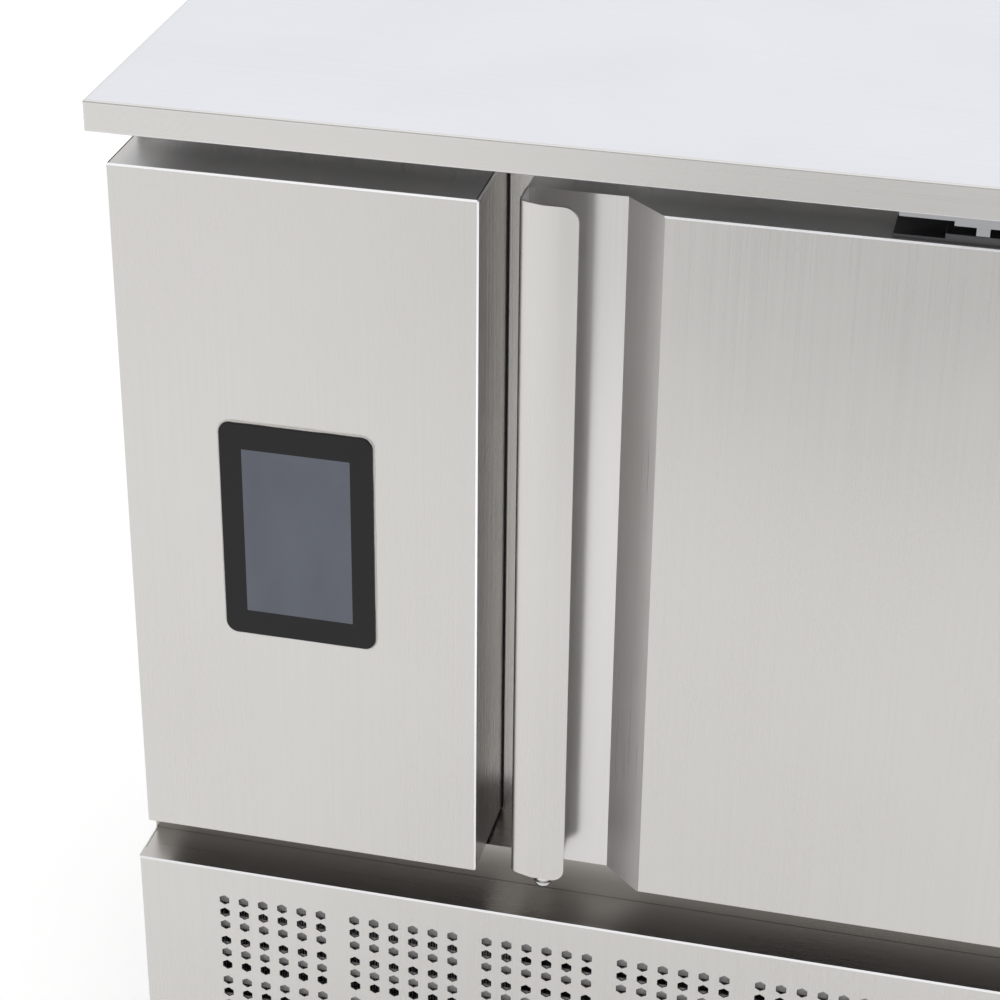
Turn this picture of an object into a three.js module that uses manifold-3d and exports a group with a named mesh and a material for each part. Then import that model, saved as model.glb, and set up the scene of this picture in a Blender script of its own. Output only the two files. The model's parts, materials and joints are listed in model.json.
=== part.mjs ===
// Blast chiller with a worktop, a control box and a bent-handle door side by side,
// and a condensing unit in the bay below. Millimetres, +Z up, front towards -Y,
// origin on the floor at the centre of the plan.
import * as THREE from 'three';
import { mergeVertices } from 'three/addons/utils/BufferGeometryUtils.js';
import Module from 'manifold-3d';

const wasm = await Module();
wasm.setup();

// ---------------------------------------------------------------- driving dimensions
const WIDTH = 856;
const DEPTH = 815;
const HEIGHT = 1015;
const SHEET = 1.5;               // outer sheet thickness
const LINER_SHEET = 1;
const INSULATION = 60;
const RUNNING_GAP = 0.3;         // between pieces that meet off the main planes
const PORT_GAP = 1.5;            // around a pipe that goes through the cabinet floor
const OVERCUT = 1;               // how far a cutting solid runs past what it cuts

// sides of a round solid, by its size
const SMALL_SIDES = 8;
const MEDIUM_SIDES = 12;
const ROUND_SIDES = 16;

// heights from the floor up
const FOOT_HEIGHT = 100;
const GRILLE_HEIGHT = 195.5;
const SILL_HEIGHT = 37;
const DOOR_FLOOR_GAP = 4;
const DOOR_HEAD_GAP = 26.5;
const WORKTOP_EDGE = 26;
const WORKTOP_HEM = 18;
const WORKTOP_OVERHANG = 3;      // past the cabinet's sides

// depths, each counted from the plane in front of it
const GRILLE_SETBACK = 5;
const DOOR_SETBACK = 6;
const SILL_SETBACK = 46;
const CONTROL_DEPTH = 98;
const REAR_SETBACK = 7.5;

// fronts, from left to right
const SIDE_INSET = 10.5;
const CONTROL_WIDTH = 299;
const CENTRE_GAP = 28.5;
const FRAME_SEAM = 2;
const TOP_SLIT = 1;
const GRILLE_RETURN = 15;
const GRILLE_FLANGE = 48;
const FLANGE_CLEARANCE = 0.5;

// touch screen
const GLASS = { width: 129.5, height: 198.5, thickness: 2.5, corner: 10, lap: 6 };
const SCREEN_CENTRE = { fromBoxLeft: 148.5, fromBoxFoot: 312.5 };
const DISPLAY_MODULE = { depth: 14, clearance: 0.5 };

// electrics behind the cover
const BOARD = { left: 40, right: 50, fromTop: 226, height: 180, sheet: 2, back: 18, post: 4, postInset: 8 };
const RELAY = { count: 4, left: 20, width: 24, pitch: 34, fromTop: 22, height: 28, depth: 16 };
const TERMINALS = { inset: 20, fromFoot: 16, height: 14, depth: 12 };
const RAIL = { left: 40, right: 60, fromTop: 101, height: 35, depth: 8 };
const CONTACTOR = { count: 3, left: 12, width: 48, pitch: 56, overhang: 20, depth: 54 };

// door
const RECESS_DEPTH = 30.5;
const RECESS_WIDTH = 79.5;
const BEVEL_WIDTH = 33.5;
const DOOR_LAP = 53.5;           // how far the door reaches past the opening at its handle side
const GASKET = { reach: 20, width: 14, depth: 11, lip: 8, foot: 5 };
const SEAL_GAP = 0.5;
const PLUG = { inset: 25, height: 8 };

// handle
const HANDLE = { width: 48, proud: 2, sheet: 2, bend: 20, corner: 12, flange: 24.5, bendSteps: 6 };
const END_SCREW = { inset: 29, back: 8.5, radius: 8, height: 7, landing: 2 };

// hinges
const PIVOT = { fromDoorSide: 20, fromDoorFace: 20 };
const PIN_RADIUS = 6;
const LEAF = { length: 221, stepInset: 38, setback: 5, depth: 36, thin: 3, thick: 4 };
const BRACKET = { thin: 3, step: 5, overhang: 6, riserLift: 8 };
const STOP_POST = { radius: 5, fromDoorSide: 161, fromDoorFace: 16 };
const LOWER_BRACKET = { length: 50, thickness: 5, lip: 24, margin: 8, leafOverlap: 18 };

// hexagonal perforation of the lower grille
const HOLE = {
  flats: 9, columnPitch: 17.9, columns: 6, blockPitch: 120.45, blocks: 6,
  rowPitch: 13.8, rows: 3, bandPitch: 45.3, bands: 3, firstRow: 33.5,
};

// feet and bay
const FOOT = {
  fromSide: 65, fromFront: 80, fromBack: 60,
  body: 20, leg: 14, pad: 25, sleeve: 36, padEdge: 6, padTop: 12,
};
const TRAY_SHEET = 2;
const TRAY_RIM = 25;
const VENT = { slots: 4, columns: 2, length: 180, height: 8, pitch: 28, columnPitch: 260 };

// chamber fittings
const TRAY = { levels: 5, firstLevel: 67, headroom: 101.5, side: 3, support: 12 };
const RACK = { fromOpening: 32.5, ledge: 3, lap: 2, frontGap: 17, backGap: 12 };
const RACK_POST = { depth: 12, width: 20, inset: 20 };
const BAFFLE = {
  fromOpening: 29, edgeGap: 1, slots: 4, slotWidth: 18, slotInset: 30, slotEdge: 44.25, slotLand: 40,
};
const FAN_MARGIN = 34.25;        // from the chamber's floor and roof to the fans' share of its height
const FAN_SPACING = 13;          // around each rotor within its share
const BLADES = { count: 5, sheet: 2, rootLap: 4 };
const EVAPORATOR_FAN = { hub: 40, length: 30, twist: 28, bore: 4.5, setback: 6 };
const DUCT = { clearance: 5, wall: 2.5, length: 38 };
const EVAPORATOR_MOTOR = { radius: 38, length: 64, shaft: 3.7, gap: 2 };
const FAN_BAR = { width: 50, sheet: 3, depth: 14 };
const GUARD = { outer: 6, inner: 50, wire: 3 };
const EVAPORATOR = {
  thickness: 100, fromLinerLeft: 24, fromFront: 109.5, fromBack: 80, lift: 26, headroom: 72.5,
};
const COIL = { plate: 2, overhang: 6, grooves: 9, groove: 3, grooveDepth: 5, lap: 1 };
const BENDS = { count: 2, inset: 26, first: 110, pitch: 180, rise: 55, reach: 16, radius: 14, tube: 5 };
const DRIP_TRAY = { rim: 22, sheet: 1.5, margin: 10 };
const DRAIN = { radius: 9, wall: 1.5, tail: 40 };
const SENSOR = { radius: 4, length: 50, clip: 10, clipWidth: 12, fromFront: 90, fromRoof: 50, proud: 4 };

// condensing unit
const CONDENSER = { fromSide: 30, width: 300, fromGrille: 57.5, thickness: 45, headroom: 25.5 };
const CONDENSER_BENDS = {
  count: 2, inset: 14, depth: 18, first: 72, pitch: 55, reach: 16, radius: 8, tube: 4,
};
const CONDENSER_FAN = { margin: 7, hub: 26, length: 24, twist: 30, bore: 4.5 };
const CONDENSER_MOTOR = { radius: 30, length: 52, shaft: 3.7, gap: 2 };
const MOTOR_STAND = { width: 60, foot: 40 };
const SHROUD = { sheet: 1.5, depth: 30, ductLength: 30 };
const COMPRESSOR = { fromSide: 245, fromBack: 360, radius: 88, shoulder: 34, headroom: 23.5 };
const TERMINAL_BOX = { lap: 12, reach: 30, width: 56, lift: 50, height: 60 };
const COMPRESSOR_BASE = { width: 210, depth: 210, plate: 4, rubber: 10, rubberRadius: 14, inset: 20 };
const RECEIVER = {
  fromCondenser: 15, length: 260, radius: 38, axis: 50, crown: 20, legInset: 50, leg: 12, legWidth: 60,
};
const DRIER = { length: 120, radius: 17, neck: 5, body: 74, taper: 12 };
const SUCTION = {
  radius: 7, fromCoilFront: 38.5, fromCoilEnd: 50.5, coilDrop: 20, bayDrop: 24, stand: 50, entry: 78,
};
const LIQUID = { radius: 5, fromCoilFront: 8.5, fromCoilEnd: 40.5, coilRise: 15 };
const DISCHARGE = { stand: 90, coilStand: 50, coilInset: 10, exit: 112 };
const CONDENSATE_STAND = 76;
const BEND = { reach: 22, steps: 2, sides: 6 };
const POWER_BOX = { fromSide: 15, width: 130, depth: 160, height: 118, fromBack: 70, lid: 2, skirt: 16 };
const GLAND = { fromSide: 85, height: 52, nut: 14, shank: 9.5, bore: 5, inner: 9 };

// ---------------------------------------------------------------- planes worked out from them
const grown = ([low, high], by) => [low - by, high + by];
const about = (middle, width) => [middle - width / 2, middle + width / 2];
const mean = ([low, high]) => (low + high) / 2;
const ordered = (a, b) => [Math.min(a, b), Math.max(a, b)];
const series = (count, make) => Array.from({ length: count }, (_, i) => make(i));

const xSide = WIDTH / 2 - WORKTOP_OVERHANG;
const wholeX = [-xSide, xSide];
const insideX = grown(wholeX, -SHEET);
const wholeY = [-DEPTH / 2, DEPTH / 2];
const yGrille = wholeY[0] + GRILLE_SETBACK;
const yDoor = yGrille + DOOR_SETBACK;
const ySill = yGrille + SILL_SETBACK;
const yFrame = yGrille + CONTROL_DEPTH;
const yCasing = yFrame + SHEET;
const yBack = wholeY[1] - REAR_SETBACK;
const zBay = FOOT_HEIGHT + GRILLE_HEIGHT;
const zSill = zBay + SILL_HEIGHT;
const zDoor = zSill + DOOR_FLOOR_GAP;
const zTop = HEIGHT - WORKTOP_EDGE;
const zDoorTop = zTop - DOOR_HEAD_GAP;
const zFloor = FOOT_HEIGHT + TRAY_SHEET;
const doorZ = [zDoor, zDoorTop];

const xControl = [-xSide + SIDE_INSET, -xSide + SIDE_INSET + CONTROL_WIDTH];
const xDoor = [xControl[1] + CENTRE_GAP, xSide - SIDE_INSET];

// the liner's outer faces, the chamber within it, and its mouth at the right
const liner = {
  x: grown(insideX, -INSULATION),
  y: [yCasing + INSULATION, yBack - SHEET - INSULATION],
  z: [zBay + SHEET + INSULATION, zTop - SHEET - INSULATION],
};
const chamber = {
  x: grown(liner.x, -LINER_SHEET),
  y: grown(liner.y, -LINER_SHEET),
  z: grown(liner.z, -LINER_SHEET),
};
const chamberHeight = chamber.z[1] - chamber.z[0];
const opening = { x: [xDoor[0] + DOOR_LAP, chamber.x[1]], z: chamber.z };
const mouthX = [opening.x[0] - LINER_SHEET, liner.x[1]];

// ---------------------------------------------------------------- solids
function toSolid(geometry) {
  const bare = geometry.clone();
  bare.deleteAttribute('normal');
  bare.deleteAttribute('uv');
  const merged = mergeVertices(bare, 1e-4);
  const source = merged.index.array;
  const kept = [];
  for (let i = 0; i < source.length; i += 3) {
    const [a, b, c] = [source[i], source[i + 1], source[i + 2]];
    if (a !== b && b !== c && c !== a) kept.push(a, b, c);
  }
  return new wasm.Manifold(new wasm.Mesh({
    numProp: 3,
    vertProperties: new Float32Array(merged.attributes.position.array),
    triVerts: new Uint32Array(kept),
  }));
}

function toGeometry(solid) {
  const mesh = solid.getMesh();
  const geometry = new THREE.BufferGeometry();
  geometry.setAttribute('position', new THREE.BufferAttribute(mesh.vertProperties, 3));
  geometry.setIndex(new THREE.BufferAttribute(mesh.triVerts, 1));
  geometry.computeVertexNormals();
  return geometry;
}

const join = (solids) => solids.reduce((whole, solid) => whole.add(solid));
const cut = (solid, tools) => tools.reduce((left, tool) => left.subtract(tool), solid);

function block([x0, x1], [y0, y1], [z0, z1]) {
  const box = new THREE.BoxGeometry(x1 - x0, y1 - y0, z1 - z0);
  return toSolid(box.translate((x0 + x1) / 2, (y0 + y1) / 2, (z0 + z1) / 2));
}

const AXES = {
  X: [new THREE.Vector3(0, 1, 0), new THREE.Vector3(0, 0, 1), new THREE.Vector3(1, 0, 0)],
  Y: [new THREE.Vector3(1, 0, 0), new THREE.Vector3(0, 0, 1), new THREE.Vector3(0, -1, 0)],
  Z: [new THREE.Vector3(1, 0, 0), new THREE.Vector3(0, 1, 0), new THREE.Vector3(0, 0, 1)],
};

// An outline drawn on the two other axes, in alphabetical order, and drawn out along one.
function extrude(shape, axis, [from, to], curveSegments = 3) {
  const options = { depth: to - from, bevelEnabled: false, curveSegments };
  const geometry = new THREE.ExtrudeGeometry(shape, options);
  geometry.applyMatrix4(new THREE.Matrix4().makeBasis(...AXES[axis]));
  const start = { X: [from, 0, 0], Y: [0, to, 0], Z: [0, 0, from] }[axis];
  return toSolid(geometry.translate(...start));
}

const outline = (points) => new THREE.Shape(points.map(([u, v]) => new THREE.Vector2(u, v)));

// Points of an arc from one angle to another, its ends with it.
function arc([u, v], radius, [from, to], steps) {
  return series(steps + 1, (i) => {
    const angle = from + ((to - from) * i) / steps;
    return [u + radius * Math.cos(angle), v + radius * Math.sin(angle)];
  });
}

const polygon = (centre, radius, sides, turn = 0) =>
  outline(arc(centre, radius, [turn, turn + 2 * Math.PI], sides).slice(1));

const rod = (axis, centre, radius, span, sides = ROUND_SIDES) =>
  extrude(polygon(centre, radius, sides), axis, span);

function roundedRectangle([u0, u1], [v0, v1], corner) {
  const shape = new THREE.Shape();
  shape.moveTo(u0 + corner, v0).lineTo(u1 - corner, v0);
  shape.absarc(u1 - corner, v0 + corner, corner, -Math.PI / 2, 0);
  shape.lineTo(u1, v1 - corner).absarc(u1 - corner, v1 - corner, corner, 0, Math.PI / 2);
  shape.lineTo(u0 + corner, v1).absarc(u0 + corner, v1 - corner, corner, Math.PI / 2, Math.PI);
  shape.lineTo(u0, v0 + corner);
  shape.absarc(u0 + corner, v0 + corner, corner, Math.PI, 1.5 * Math.PI);
  return shape;
}

// A profile of [radius, height] turned about a vertical axis.
function turned(profile, sides) {
  const points = profile.map(([radius, height]) => new THREE.Vector2(radius, height));
  return toSolid(new THREE.LatheGeometry(points, sides).rotateX(Math.PI / 2));
}

function ring(axis, centre, inner, outer, span, sides = ROUND_SIDES) {
  const bore = rod(axis, centre, inner, grown(span, OVERCUT), sides);
  return rod(axis, centre, outer, span, sides).subtract(bore);
}

// A path that has rings only at its own points, so straight runs stay one step long.
class StationPath extends THREE.Curve {
  constructor(stations) {
    super();
    this.stations = stations;
  }

  getPointAt(t) {
    return this.stations[Math.round(t * (this.stations.length - 1))].clone();
  }

  getTangentAt(t) {
    const i = Math.round(t * (this.stations.length - 1));
    const before = this.stations[Math.max(i - 1, 0)];
    const after = this.stations[Math.min(i + 1, this.stations.length - 1)];
    return after.clone().sub(before).normalize();
  }
}

// A bent tube: straight runs between the points, with a round bend at each inner point.
function pipe(points, radius, bend = BEND.reach) {
  const stops = points.map((point) => new THREE.Vector3(...point));
  const stations = [stops[0]];
  for (let i = 1; i < stops.length - 1; i += 1) {
    const into = stops[i].clone().sub(stops[i - 1]).setLength(bend);
    const away = stops[i + 1].clone().sub(stops[i]).setLength(bend);
    const start = stops[i].clone().sub(into);
    const curve = new THREE.QuadraticBezierCurve3(start, stops[i], stops[i].clone().add(away));
    stations.push(...curve.getPoints(BEND.steps));
  }
  stations.push(stops.at(-1));
  const extrudePath = new StationPath(stations);
  const options = { steps: stations.length - 1, extrudePath, bevelEnabled: false };
  return toSolid(new THREE.ExtrudeGeometry(polygon([0, 0], radius, BEND.sides), options));
}

// ---------------------------------------------------------------- materials
const material = (color, roughness, metalness) =>
  new THREE.MeshStandardMaterial({ color, roughness, metalness });
const steel = material(0xd6d6d4, 0.3, 1);
const linerSteel = material(0xcfd2d4, 0.4, 1);
const galvanised = material(0xb4b8ba, 0.5, 1);
const foam = material(0xe6dcb4, 0.9, 0);
const coreBoard = material(0x3a332d, 0.9, 0);
const blackGlass = material(0x17171a, 0.08, 0);
const blackPlastic = material(0x26272a, 0.6, 0);
const gasketRubber = material(0x2b2b2d, 0.8, 0);
const finAluminium = material(0xc4c8cc, 0.45, 1);
const copper = material(0xb8734a, 0.35, 1);
const blackEnamel = material(0x1d1e20, 0.5, 0.3);
const circuitGreen = material(0x2d5a3c, 0.6, 0);
const greyPlastic = material(0x8c8f92, 0.6, 0);
const whitePlastic = material(0xd9dbdc, 0.5, 0);

// ---------------------------------------------------------------- assembly
const chiller = new THREE.Group();

function place(name, solid, look, group = chiller) {
  const geometry = toGeometry(solid);
  geometry.translate(-group.position.x, -group.position.y, -group.position.z);
  const mesh = new THREE.Mesh(geometry, look);
  mesh.name = name;
  group.add(mesh);
}

// A solid made about its own axis, then moved and turned into place.
function mount(name, solid, look, position, turn = [0, 0, 0]) {
  const mesh = new THREE.Mesh(toGeometry(solid), look);
  mesh.name = name;
  mesh.position.set(...position);
  mesh.rotation.set(...turn);
  chiller.add(mesh);
}

// ---------------------------------------------------------------- worktop
function buildWorktop() {
  const slabX = grown(wholeX, WORKTOP_OVERHANG);
  const core = block(grown(slabX, -SHEET), grown(wholeY, -SHEET), [zTop + SHEET, HEIGHT - SHEET]);
  const mouthZ = grown([zTop, zTop + SHEET], OVERCUT);
  const mouth = block(grown(slabX, -WORKTOP_HEM), grown(wholeY, -WORKTOP_HEM), mouthZ);
  const slab = block(slabX, wholeY, [zTop, HEIGHT]);
  place('worktop', cut(slab, [core, mouth]), steel);
  place('worktop_core', core, coreBoard);
}

// ---------------------------------------------------------------- insulated cabinet
const coilLeft = chamber.x[0] + EVAPORATOR.fromLinerLeft;
const evaporator = {
  x: [coilLeft, coilLeft + EVAPORATOR.thickness],
  y: [chamber.y[0] + EVAPORATOR.fromFront, chamber.y[1] - EVAPORATOR.fromBack],
  z: [chamber.z[0] + EVAPORATOR.lift, chamber.z[1] - EVAPORATOR.headroom],
};
const evaporatorEnd = evaporator.y[1] + COIL.plate;
const suctionPort = [coilLeft + SUCTION.fromCoilFront, evaporatorEnd + SUCTION.fromCoilEnd];
const liquidPort = [coilLeft + LIQUID.fromCoilFront, evaporatorEnd + LIQUID.fromCoilEnd];
const drainPort = [mean(evaporator.x), mean(evaporator.y)];

// Holes down through liner, foam and casing for the drain and the two refrigerant lines.
function portHoles() {
  const span = grown([zBay, chamber.z[0]], OVERCUT);
  const ports = [[drainPort, DRAIN.radius], [suctionPort, SUCTION.radius], [liquidPort, LIQUID.radius]];
  return ports.map(([centre, radius]) => rod('Z', centre, radius + PORT_GAP, span, SMALL_SIDES));
}

function buildCabinet() {
  const throat = block(mouthX, [yCasing, liner.y[0]], liner.z);
  const linerOuter = block(liner.x, liner.y, liner.z).add(throat);
  const passage = block(opening.x, [yCasing - OVERCUT, chamber.y[0]], opening.z);
  const clear = block(chamber.x, chamber.y, chamber.z).add(passage);
  const cabinetZ = [zBay, zTop];
  const box = block(wholeX, [yCasing, yBack], cabinetZ);
  const inside = block(insideX, grown([yCasing, yBack], -SHEET), grown(cabinetZ, -SHEET));
  const doorway = block(mouthX, grown([yCasing, yCasing + SHEET], OVERCUT), liner.z);
  place('cabinet_casing', cut(box, [inside, doorway, ...portHoles()]), steel);
  place('insulation', cut(inside, [linerOuter, ...portHoles()]), foam);
  place('chamber_liner', cut(linerOuter, [clear, ...portHoles()]), linerSteel);

  const surround = block([xControl[1] + FRAME_SEAM, xSide], [yFrame, yCasing], [zSill, zTop]);
  const hole = block(opening.x, grown([yFrame, yCasing], OVERCUT), opening.z);
  place('door_frame', cut(surround, [hole]), steel);

  const sill = block(wholeX, [ySill, yCasing], [zBay, zSill]);
  const under = block(insideX, [ySill + SHEET, yCasing + OVERCUT], [zBay - OVERCUT, zSill - SHEET]);
  place('front_sill', cut(sill, [under]), steel);
}

// ---------------------------------------------------------------- control box
function buildControlBox() {
  const outer = block(xControl, [yGrille, yCasing], doorZ);
  const innerX = grown(xControl, -SHEET);
  const innerY = [yGrille + SHEET, yCasing + OVERCUT];
  const inner = block(innerX, innerY, grown(doorZ, -SHEET));
  const slitZ = grown([zDoorTop - SHEET, zDoorTop], OVERCUT);
  const slits = [
    block([innerX[0], innerX[0] + TOP_SLIT], innerY, slitZ),
    block([innerX[1] - TOP_SLIT, innerX[1]], innerY, slitZ),
  ];
  const glassX = about(xControl[0] + SCREEN_CENTRE.fromBoxLeft, GLASS.width);
  const glassZ = about(zDoor + SCREEN_CENTRE.fromBoxFoot, GLASS.height);
  const windowX = grown(glassX, -GLASS.lap);
  const windowZ = grown(glassZ, -GLASS.lap);
  const windowCorner = GLASS.corner - GLASS.lap;
  const window = roundedRectangle(windowX, windowZ, windowCorner);
  const windowCut = extrude(window, 'Y', grown([yGrille, yGrille + SHEET], OVERCUT));
  place('control_box_cover', cut(outer, [inner, ...slits, windowCut]), steel);

  const pane = roundedRectangle(glassX, glassZ, GLASS.corner);
  place('touch_glass', extrude(pane, 'Y', [yGrille - GLASS.thickness, yGrille]), blackGlass);
  const { depth, clearance } = DISPLAY_MODULE;
  const frame = roundedRectangle(grown(windowX, -clearance), grown(windowZ, -clearance), windowCorner);
  place('display_module', extrude(frame, 'Y', [yGrille, yGrille + depth]), blackPlastic);
}

function buildElectrics() {
  const boardTop = zDoorTop - BOARD.fromTop;
  const boardX = [xControl[0] + BOARD.left, xControl[1] - BOARD.right];
  const boardY = [yCasing - BOARD.back - BOARD.sheet, yCasing - BOARD.back];
  const boardZ = [boardTop - BOARD.height, boardTop];
  const posts = grown(boardX, -BOARD.postInset).flatMap((x) =>
    grown(boardZ, -BOARD.postInset).map((z) =>
      rod('Y', [x, z], BOARD.post, [boardY[1] - OVERCUT, yCasing], BEND.sides)));
  const relayY = [boardY[0] - RELAY.depth, boardY[1]];
  const relayZ = [boardTop - RELAY.fromTop - RELAY.height, boardTop - RELAY.fromTop];
  const relays = series(RELAY.count, (i) => {
    const left = boardX[0] + RELAY.left + i * RELAY.pitch;
    return block([left, left + RELAY.width], relayY, relayZ);
  });
  const terminalFoot = boardZ[0] + TERMINALS.fromFoot;
  const terminals = block(grown(boardX, -TERMINALS.inset), [boardY[0] - TERMINALS.depth, boardY[1]],
    [terminalFoot, terminalFoot + TERMINALS.height]);
  const board = block(boardX, boardY, boardZ);
  place('control_board', join([board, ...posts, ...relays, terminals]), circuitGreen);

  const railTop = zDoorTop - RAIL.fromTop;
  const railX = [xControl[0] + RAIL.left, xControl[1] - RAIL.right];
  const railZ = [railTop - RAIL.height, railTop];
  const rail = block(railX, [yCasing - RAIL.depth, yCasing], railZ);
  const contactorY = [yCasing - RAIL.depth - CONTACTOR.depth, yCasing - RAIL.depth];
  const contactors = series(CONTACTOR.count, (i) => {
    const left = railX[0] + CONTACTOR.left + i * CONTACTOR.pitch;
    return block([left, left + CONTACTOR.width], contactorY, grown(railZ, CONTACTOR.overhang));
  });
  place('contactor_rail', join([rail, ...contactors]), whitePlastic);
}

// ---------------------------------------------------------------- lower front grille
function buildGrille() {
  const faceZ = [FOOT_HEIGHT, zBay];
  const face = outline([[-xSide, faceZ[0]], [xSide, faceZ[0]], [xSide, faceZ[1]], [-xSide, faceZ[1]]]);
  const blockWidth = (HOLE.columns - 1) * HOLE.columnPitch;
  const patternWidth = (HOLE.blocks - 1) * HOLE.blockPitch + blockWidth;
  const corner = HOLE.flats / Math.sqrt(3);
  for (let group = 0; group < HOLE.blocks; group += 1) {
    for (let column = 0; column < HOLE.columns; column += 1) {
      const x = -patternWidth / 2 + group * HOLE.blockPitch + column * HOLE.columnPitch;
      for (let band = 0; band < HOLE.bands; band += 1) {
        for (let row = 0; row < HOLE.rows; row += 1) {
          const z = zBay - HOLE.firstRow - band * HOLE.bandPitch - row * HOLE.rowPitch;
          face.holes.push(polygon([x, z], corner, 6, Math.PI / 6));
        }
      }
    }
  }
  const plate = extrude(face, 'Y', [yGrille, yGrille + SHEET]);
  const returnY = [yGrille + SHEET / 2, yGrille + GRILLE_RETURN];
  const flangeY = [yGrille + SHEET / 2, yGrille + GRILLE_FLANGE];
  const topZ = [zBay - SHEET, zBay];
  const folds = [
    block([-xSide, insideX[0]], returnY, faceZ),
    block([insideX[1], xSide], returnY, faceZ),
    block(wholeX, returnY, topZ),
    block(grown(insideX, -FLANGE_CLEARANCE), flangeY, topZ),
    block(wholeX, returnY, [FOOT_HEIGHT, FOOT_HEIGHT + SHEET]),
  ];
  place('front_grille', join([plate, ...folds]), steel);
}

// ---------------------------------------------------------------- base bay and feet
const yBayStart = yGrille + GRILLE_RETURN;

function buildBay() {
  const sideY = [yBayStart, yBack];
  place('bay_side_left', block([-xSide, insideX[0]], sideY, [FOOT_HEIGHT, zBay]), steel);
  place('bay_side_right', block([insideX[1], xSide], sideY, [FOOT_HEIGHT, zBay]), steel);

  const trayY = [yBayStart + SHEET, yBack - SHEET];
  const pan = block(insideX, trayY, [FOOT_HEIGHT, FOOT_HEIGHT + TRAY_RIM]);
  const hollow = block(grown(insideX, -SHEET), [trayY[0] - OVERCUT, trayY[1] - SHEET], [zFloor, zBay]);
  place('base_tray', cut(pan, [hollow]), galvanised);
}

// A slot with pointed ends.
function slotOutline([x, z], length, height) {
  const half = (length - height) / 2;
  return outline([
    [x - half, z - height / 2], [x + half, z - height / 2], [x + length / 2, z],
    [x + half, z + height / 2], [x - half, z + height / 2], [x - length / 2, z]]);
}

const glandCentre = [xSide - GLAND.fromSide, FOOT_HEIGHT + GLAND.height];

function buildRearPanel() {
  const [left, right] = insideX;
  const back = outline([[left, FOOT_HEIGHT], [right, FOOT_HEIGHT], [right, zBay], [left, zBay]]);
  const middle = mean([FOOT_HEIGHT, zBay]);
  for (let column = 0; column < VENT.columns; column += 1) {
    for (let row = 0; row < VENT.slots; row += 1) {
      const x = (column - (VENT.columns - 1) / 2) * VENT.columnPitch;
      const z = middle + (row - (VENT.slots - 1) / 2) * VENT.pitch;
      back.holes.push(slotOutline([x, z], VENT.length, VENT.height));
    }
  }
  const panelY = [yBack - SHEET, yBack];
  const panel = extrude(back, 'Y', panelY);
  const glandHole = rod('Y', glandCentre, GLAND.shank + RUNNING_GAP, grown(panelY, OVERCUT), MEDIUM_SIDES);
  place('rear_vent_panel', cut(panel, [glandHole]), galvanised);
}

function buildFeet() {
  const foot = turned([
    [0, 0], [FOOT.pad, 0], [FOOT.pad, FOOT.padEdge], [FOOT.leg, FOOT.padTop], [FOOT.leg, FOOT.sleeve],
    [FOOT.body, FOOT.sleeve], [FOOT.body, FOOT_HEIGHT], [0, FOOT_HEIGHT]], MEDIUM_SIDES);
  const depths = [['front', yGrille + FOOT.fromFront], ['back', yBack - FOOT.fromBack]];
  const sides = [['left', -xSide + FOOT.fromSide], ['right', xSide - FOOT.fromSide]];
  for (const [depth, y] of depths) {
    for (const [side, x] of sides) {
      mount(`foot_${depth}_${side}`, foot, steel, [x, y, 0]);
    }
  }
}

// ---------------------------------------------------------------- door
const yDoorBack = yFrame - SEAL_GAP - GASKET.depth;
const yDoorPan = yDoorBack - LINER_SHEET;
const yRecess = yDoor + RECESS_DEPTH;
const pivot = { x: xDoor[1] - PIVOT.fromDoorSide, y: yDoor + PIVOT.fromDoorFace };
const doorGroup = new THREE.Group();
doorGroup.position.set(pivot.x, pivot.y, 0);
chiller.add(doorGroup);

// The door's plan outline, with its recess and bevel at the left, drawn in by a wall.
function doorOutline(wall, back) {
  const turn = Math.atan2(RECESS_DEPTH, BEVEL_WIDTH);
  const shift = wall * Math.tan(turn / 2);
  const bevel = xDoor[0] + RECESS_WIDTH;
  return outline([
    [xDoor[0] + wall, back], [xDoor[0] + wall, yRecess + wall], [bevel + shift, yRecess + wall],
    [bevel + BEVEL_WIDTH + shift, yDoor + wall], [xDoor[1] - wall, yDoor + wall], [xDoor[1] - wall, back],
  ]);
}

function buildDoor() {
  const shell = extrude(doorOutline(0, yDoorPan), 'Z', doorZ);
  const core = extrude(doorOutline(SHEET, yDoorPan + OVERCUT), 'Z', grown(doorZ, -SHEET));
  place('door_skin', shell.subtract(core), steel, doorGroup);

  const plugX = grown(opening.x, -PLUG.inset);
  const plugZ = grown(opening.z, -PLUG.inset);
  const plug = block(plugX, [yDoorPan, yDoorBack + PLUG.height], plugZ);
  const pan = block(xDoor, [yDoorPan, yDoorBack], doorZ).add(plug);
  const hollowY = [yDoorPan - OVERCUT, yDoorBack + PLUG.height - LINER_SHEET];
  const plugHollow = block(grown(plugX, -LINER_SHEET), hollowY, grown(plugZ, -LINER_SHEET));
  place('door_liner', pan.subtract(plugHollow), linerSteel, doorGroup);

  const fill = SHEET + RUNNING_GAP;
  const packed = extrude(doorOutline(fill, yDoorPan), 'Z', grown(doorZ, -fill));
  place('door_foam', packed, foam, doorGroup);
}

// A flat strip around the opening, between two distances from the seal's outer edge.
function sealStrip(from, to, y) {
  const at = (inset) => [grown(opening.x, GASKET.reach - inset), grown(opening.z, GASKET.reach - inset)];
  const [outerX, outerZ] = at(from);
  const [innerX, innerZ] = at(to);
  return block(outerX, y, outerZ).subtract(block(innerX, grown(y, OVERCUT), innerZ));
}

function buildGasket() {
  const lipInset = (GASKET.width - GASKET.lip) / 2;
  const foot = sealStrip(0, GASKET.width, [yDoorBack, yDoorBack + GASKET.foot]);
  const lipY = [yDoorBack + OVERCUT, yDoorBack + GASKET.depth];
  const lip = sealStrip(lipInset, lipInset + GASKET.lip, lipY);
  place('door_gasket', foot.add(lip), gasketRubber, doorGroup);
}

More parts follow.
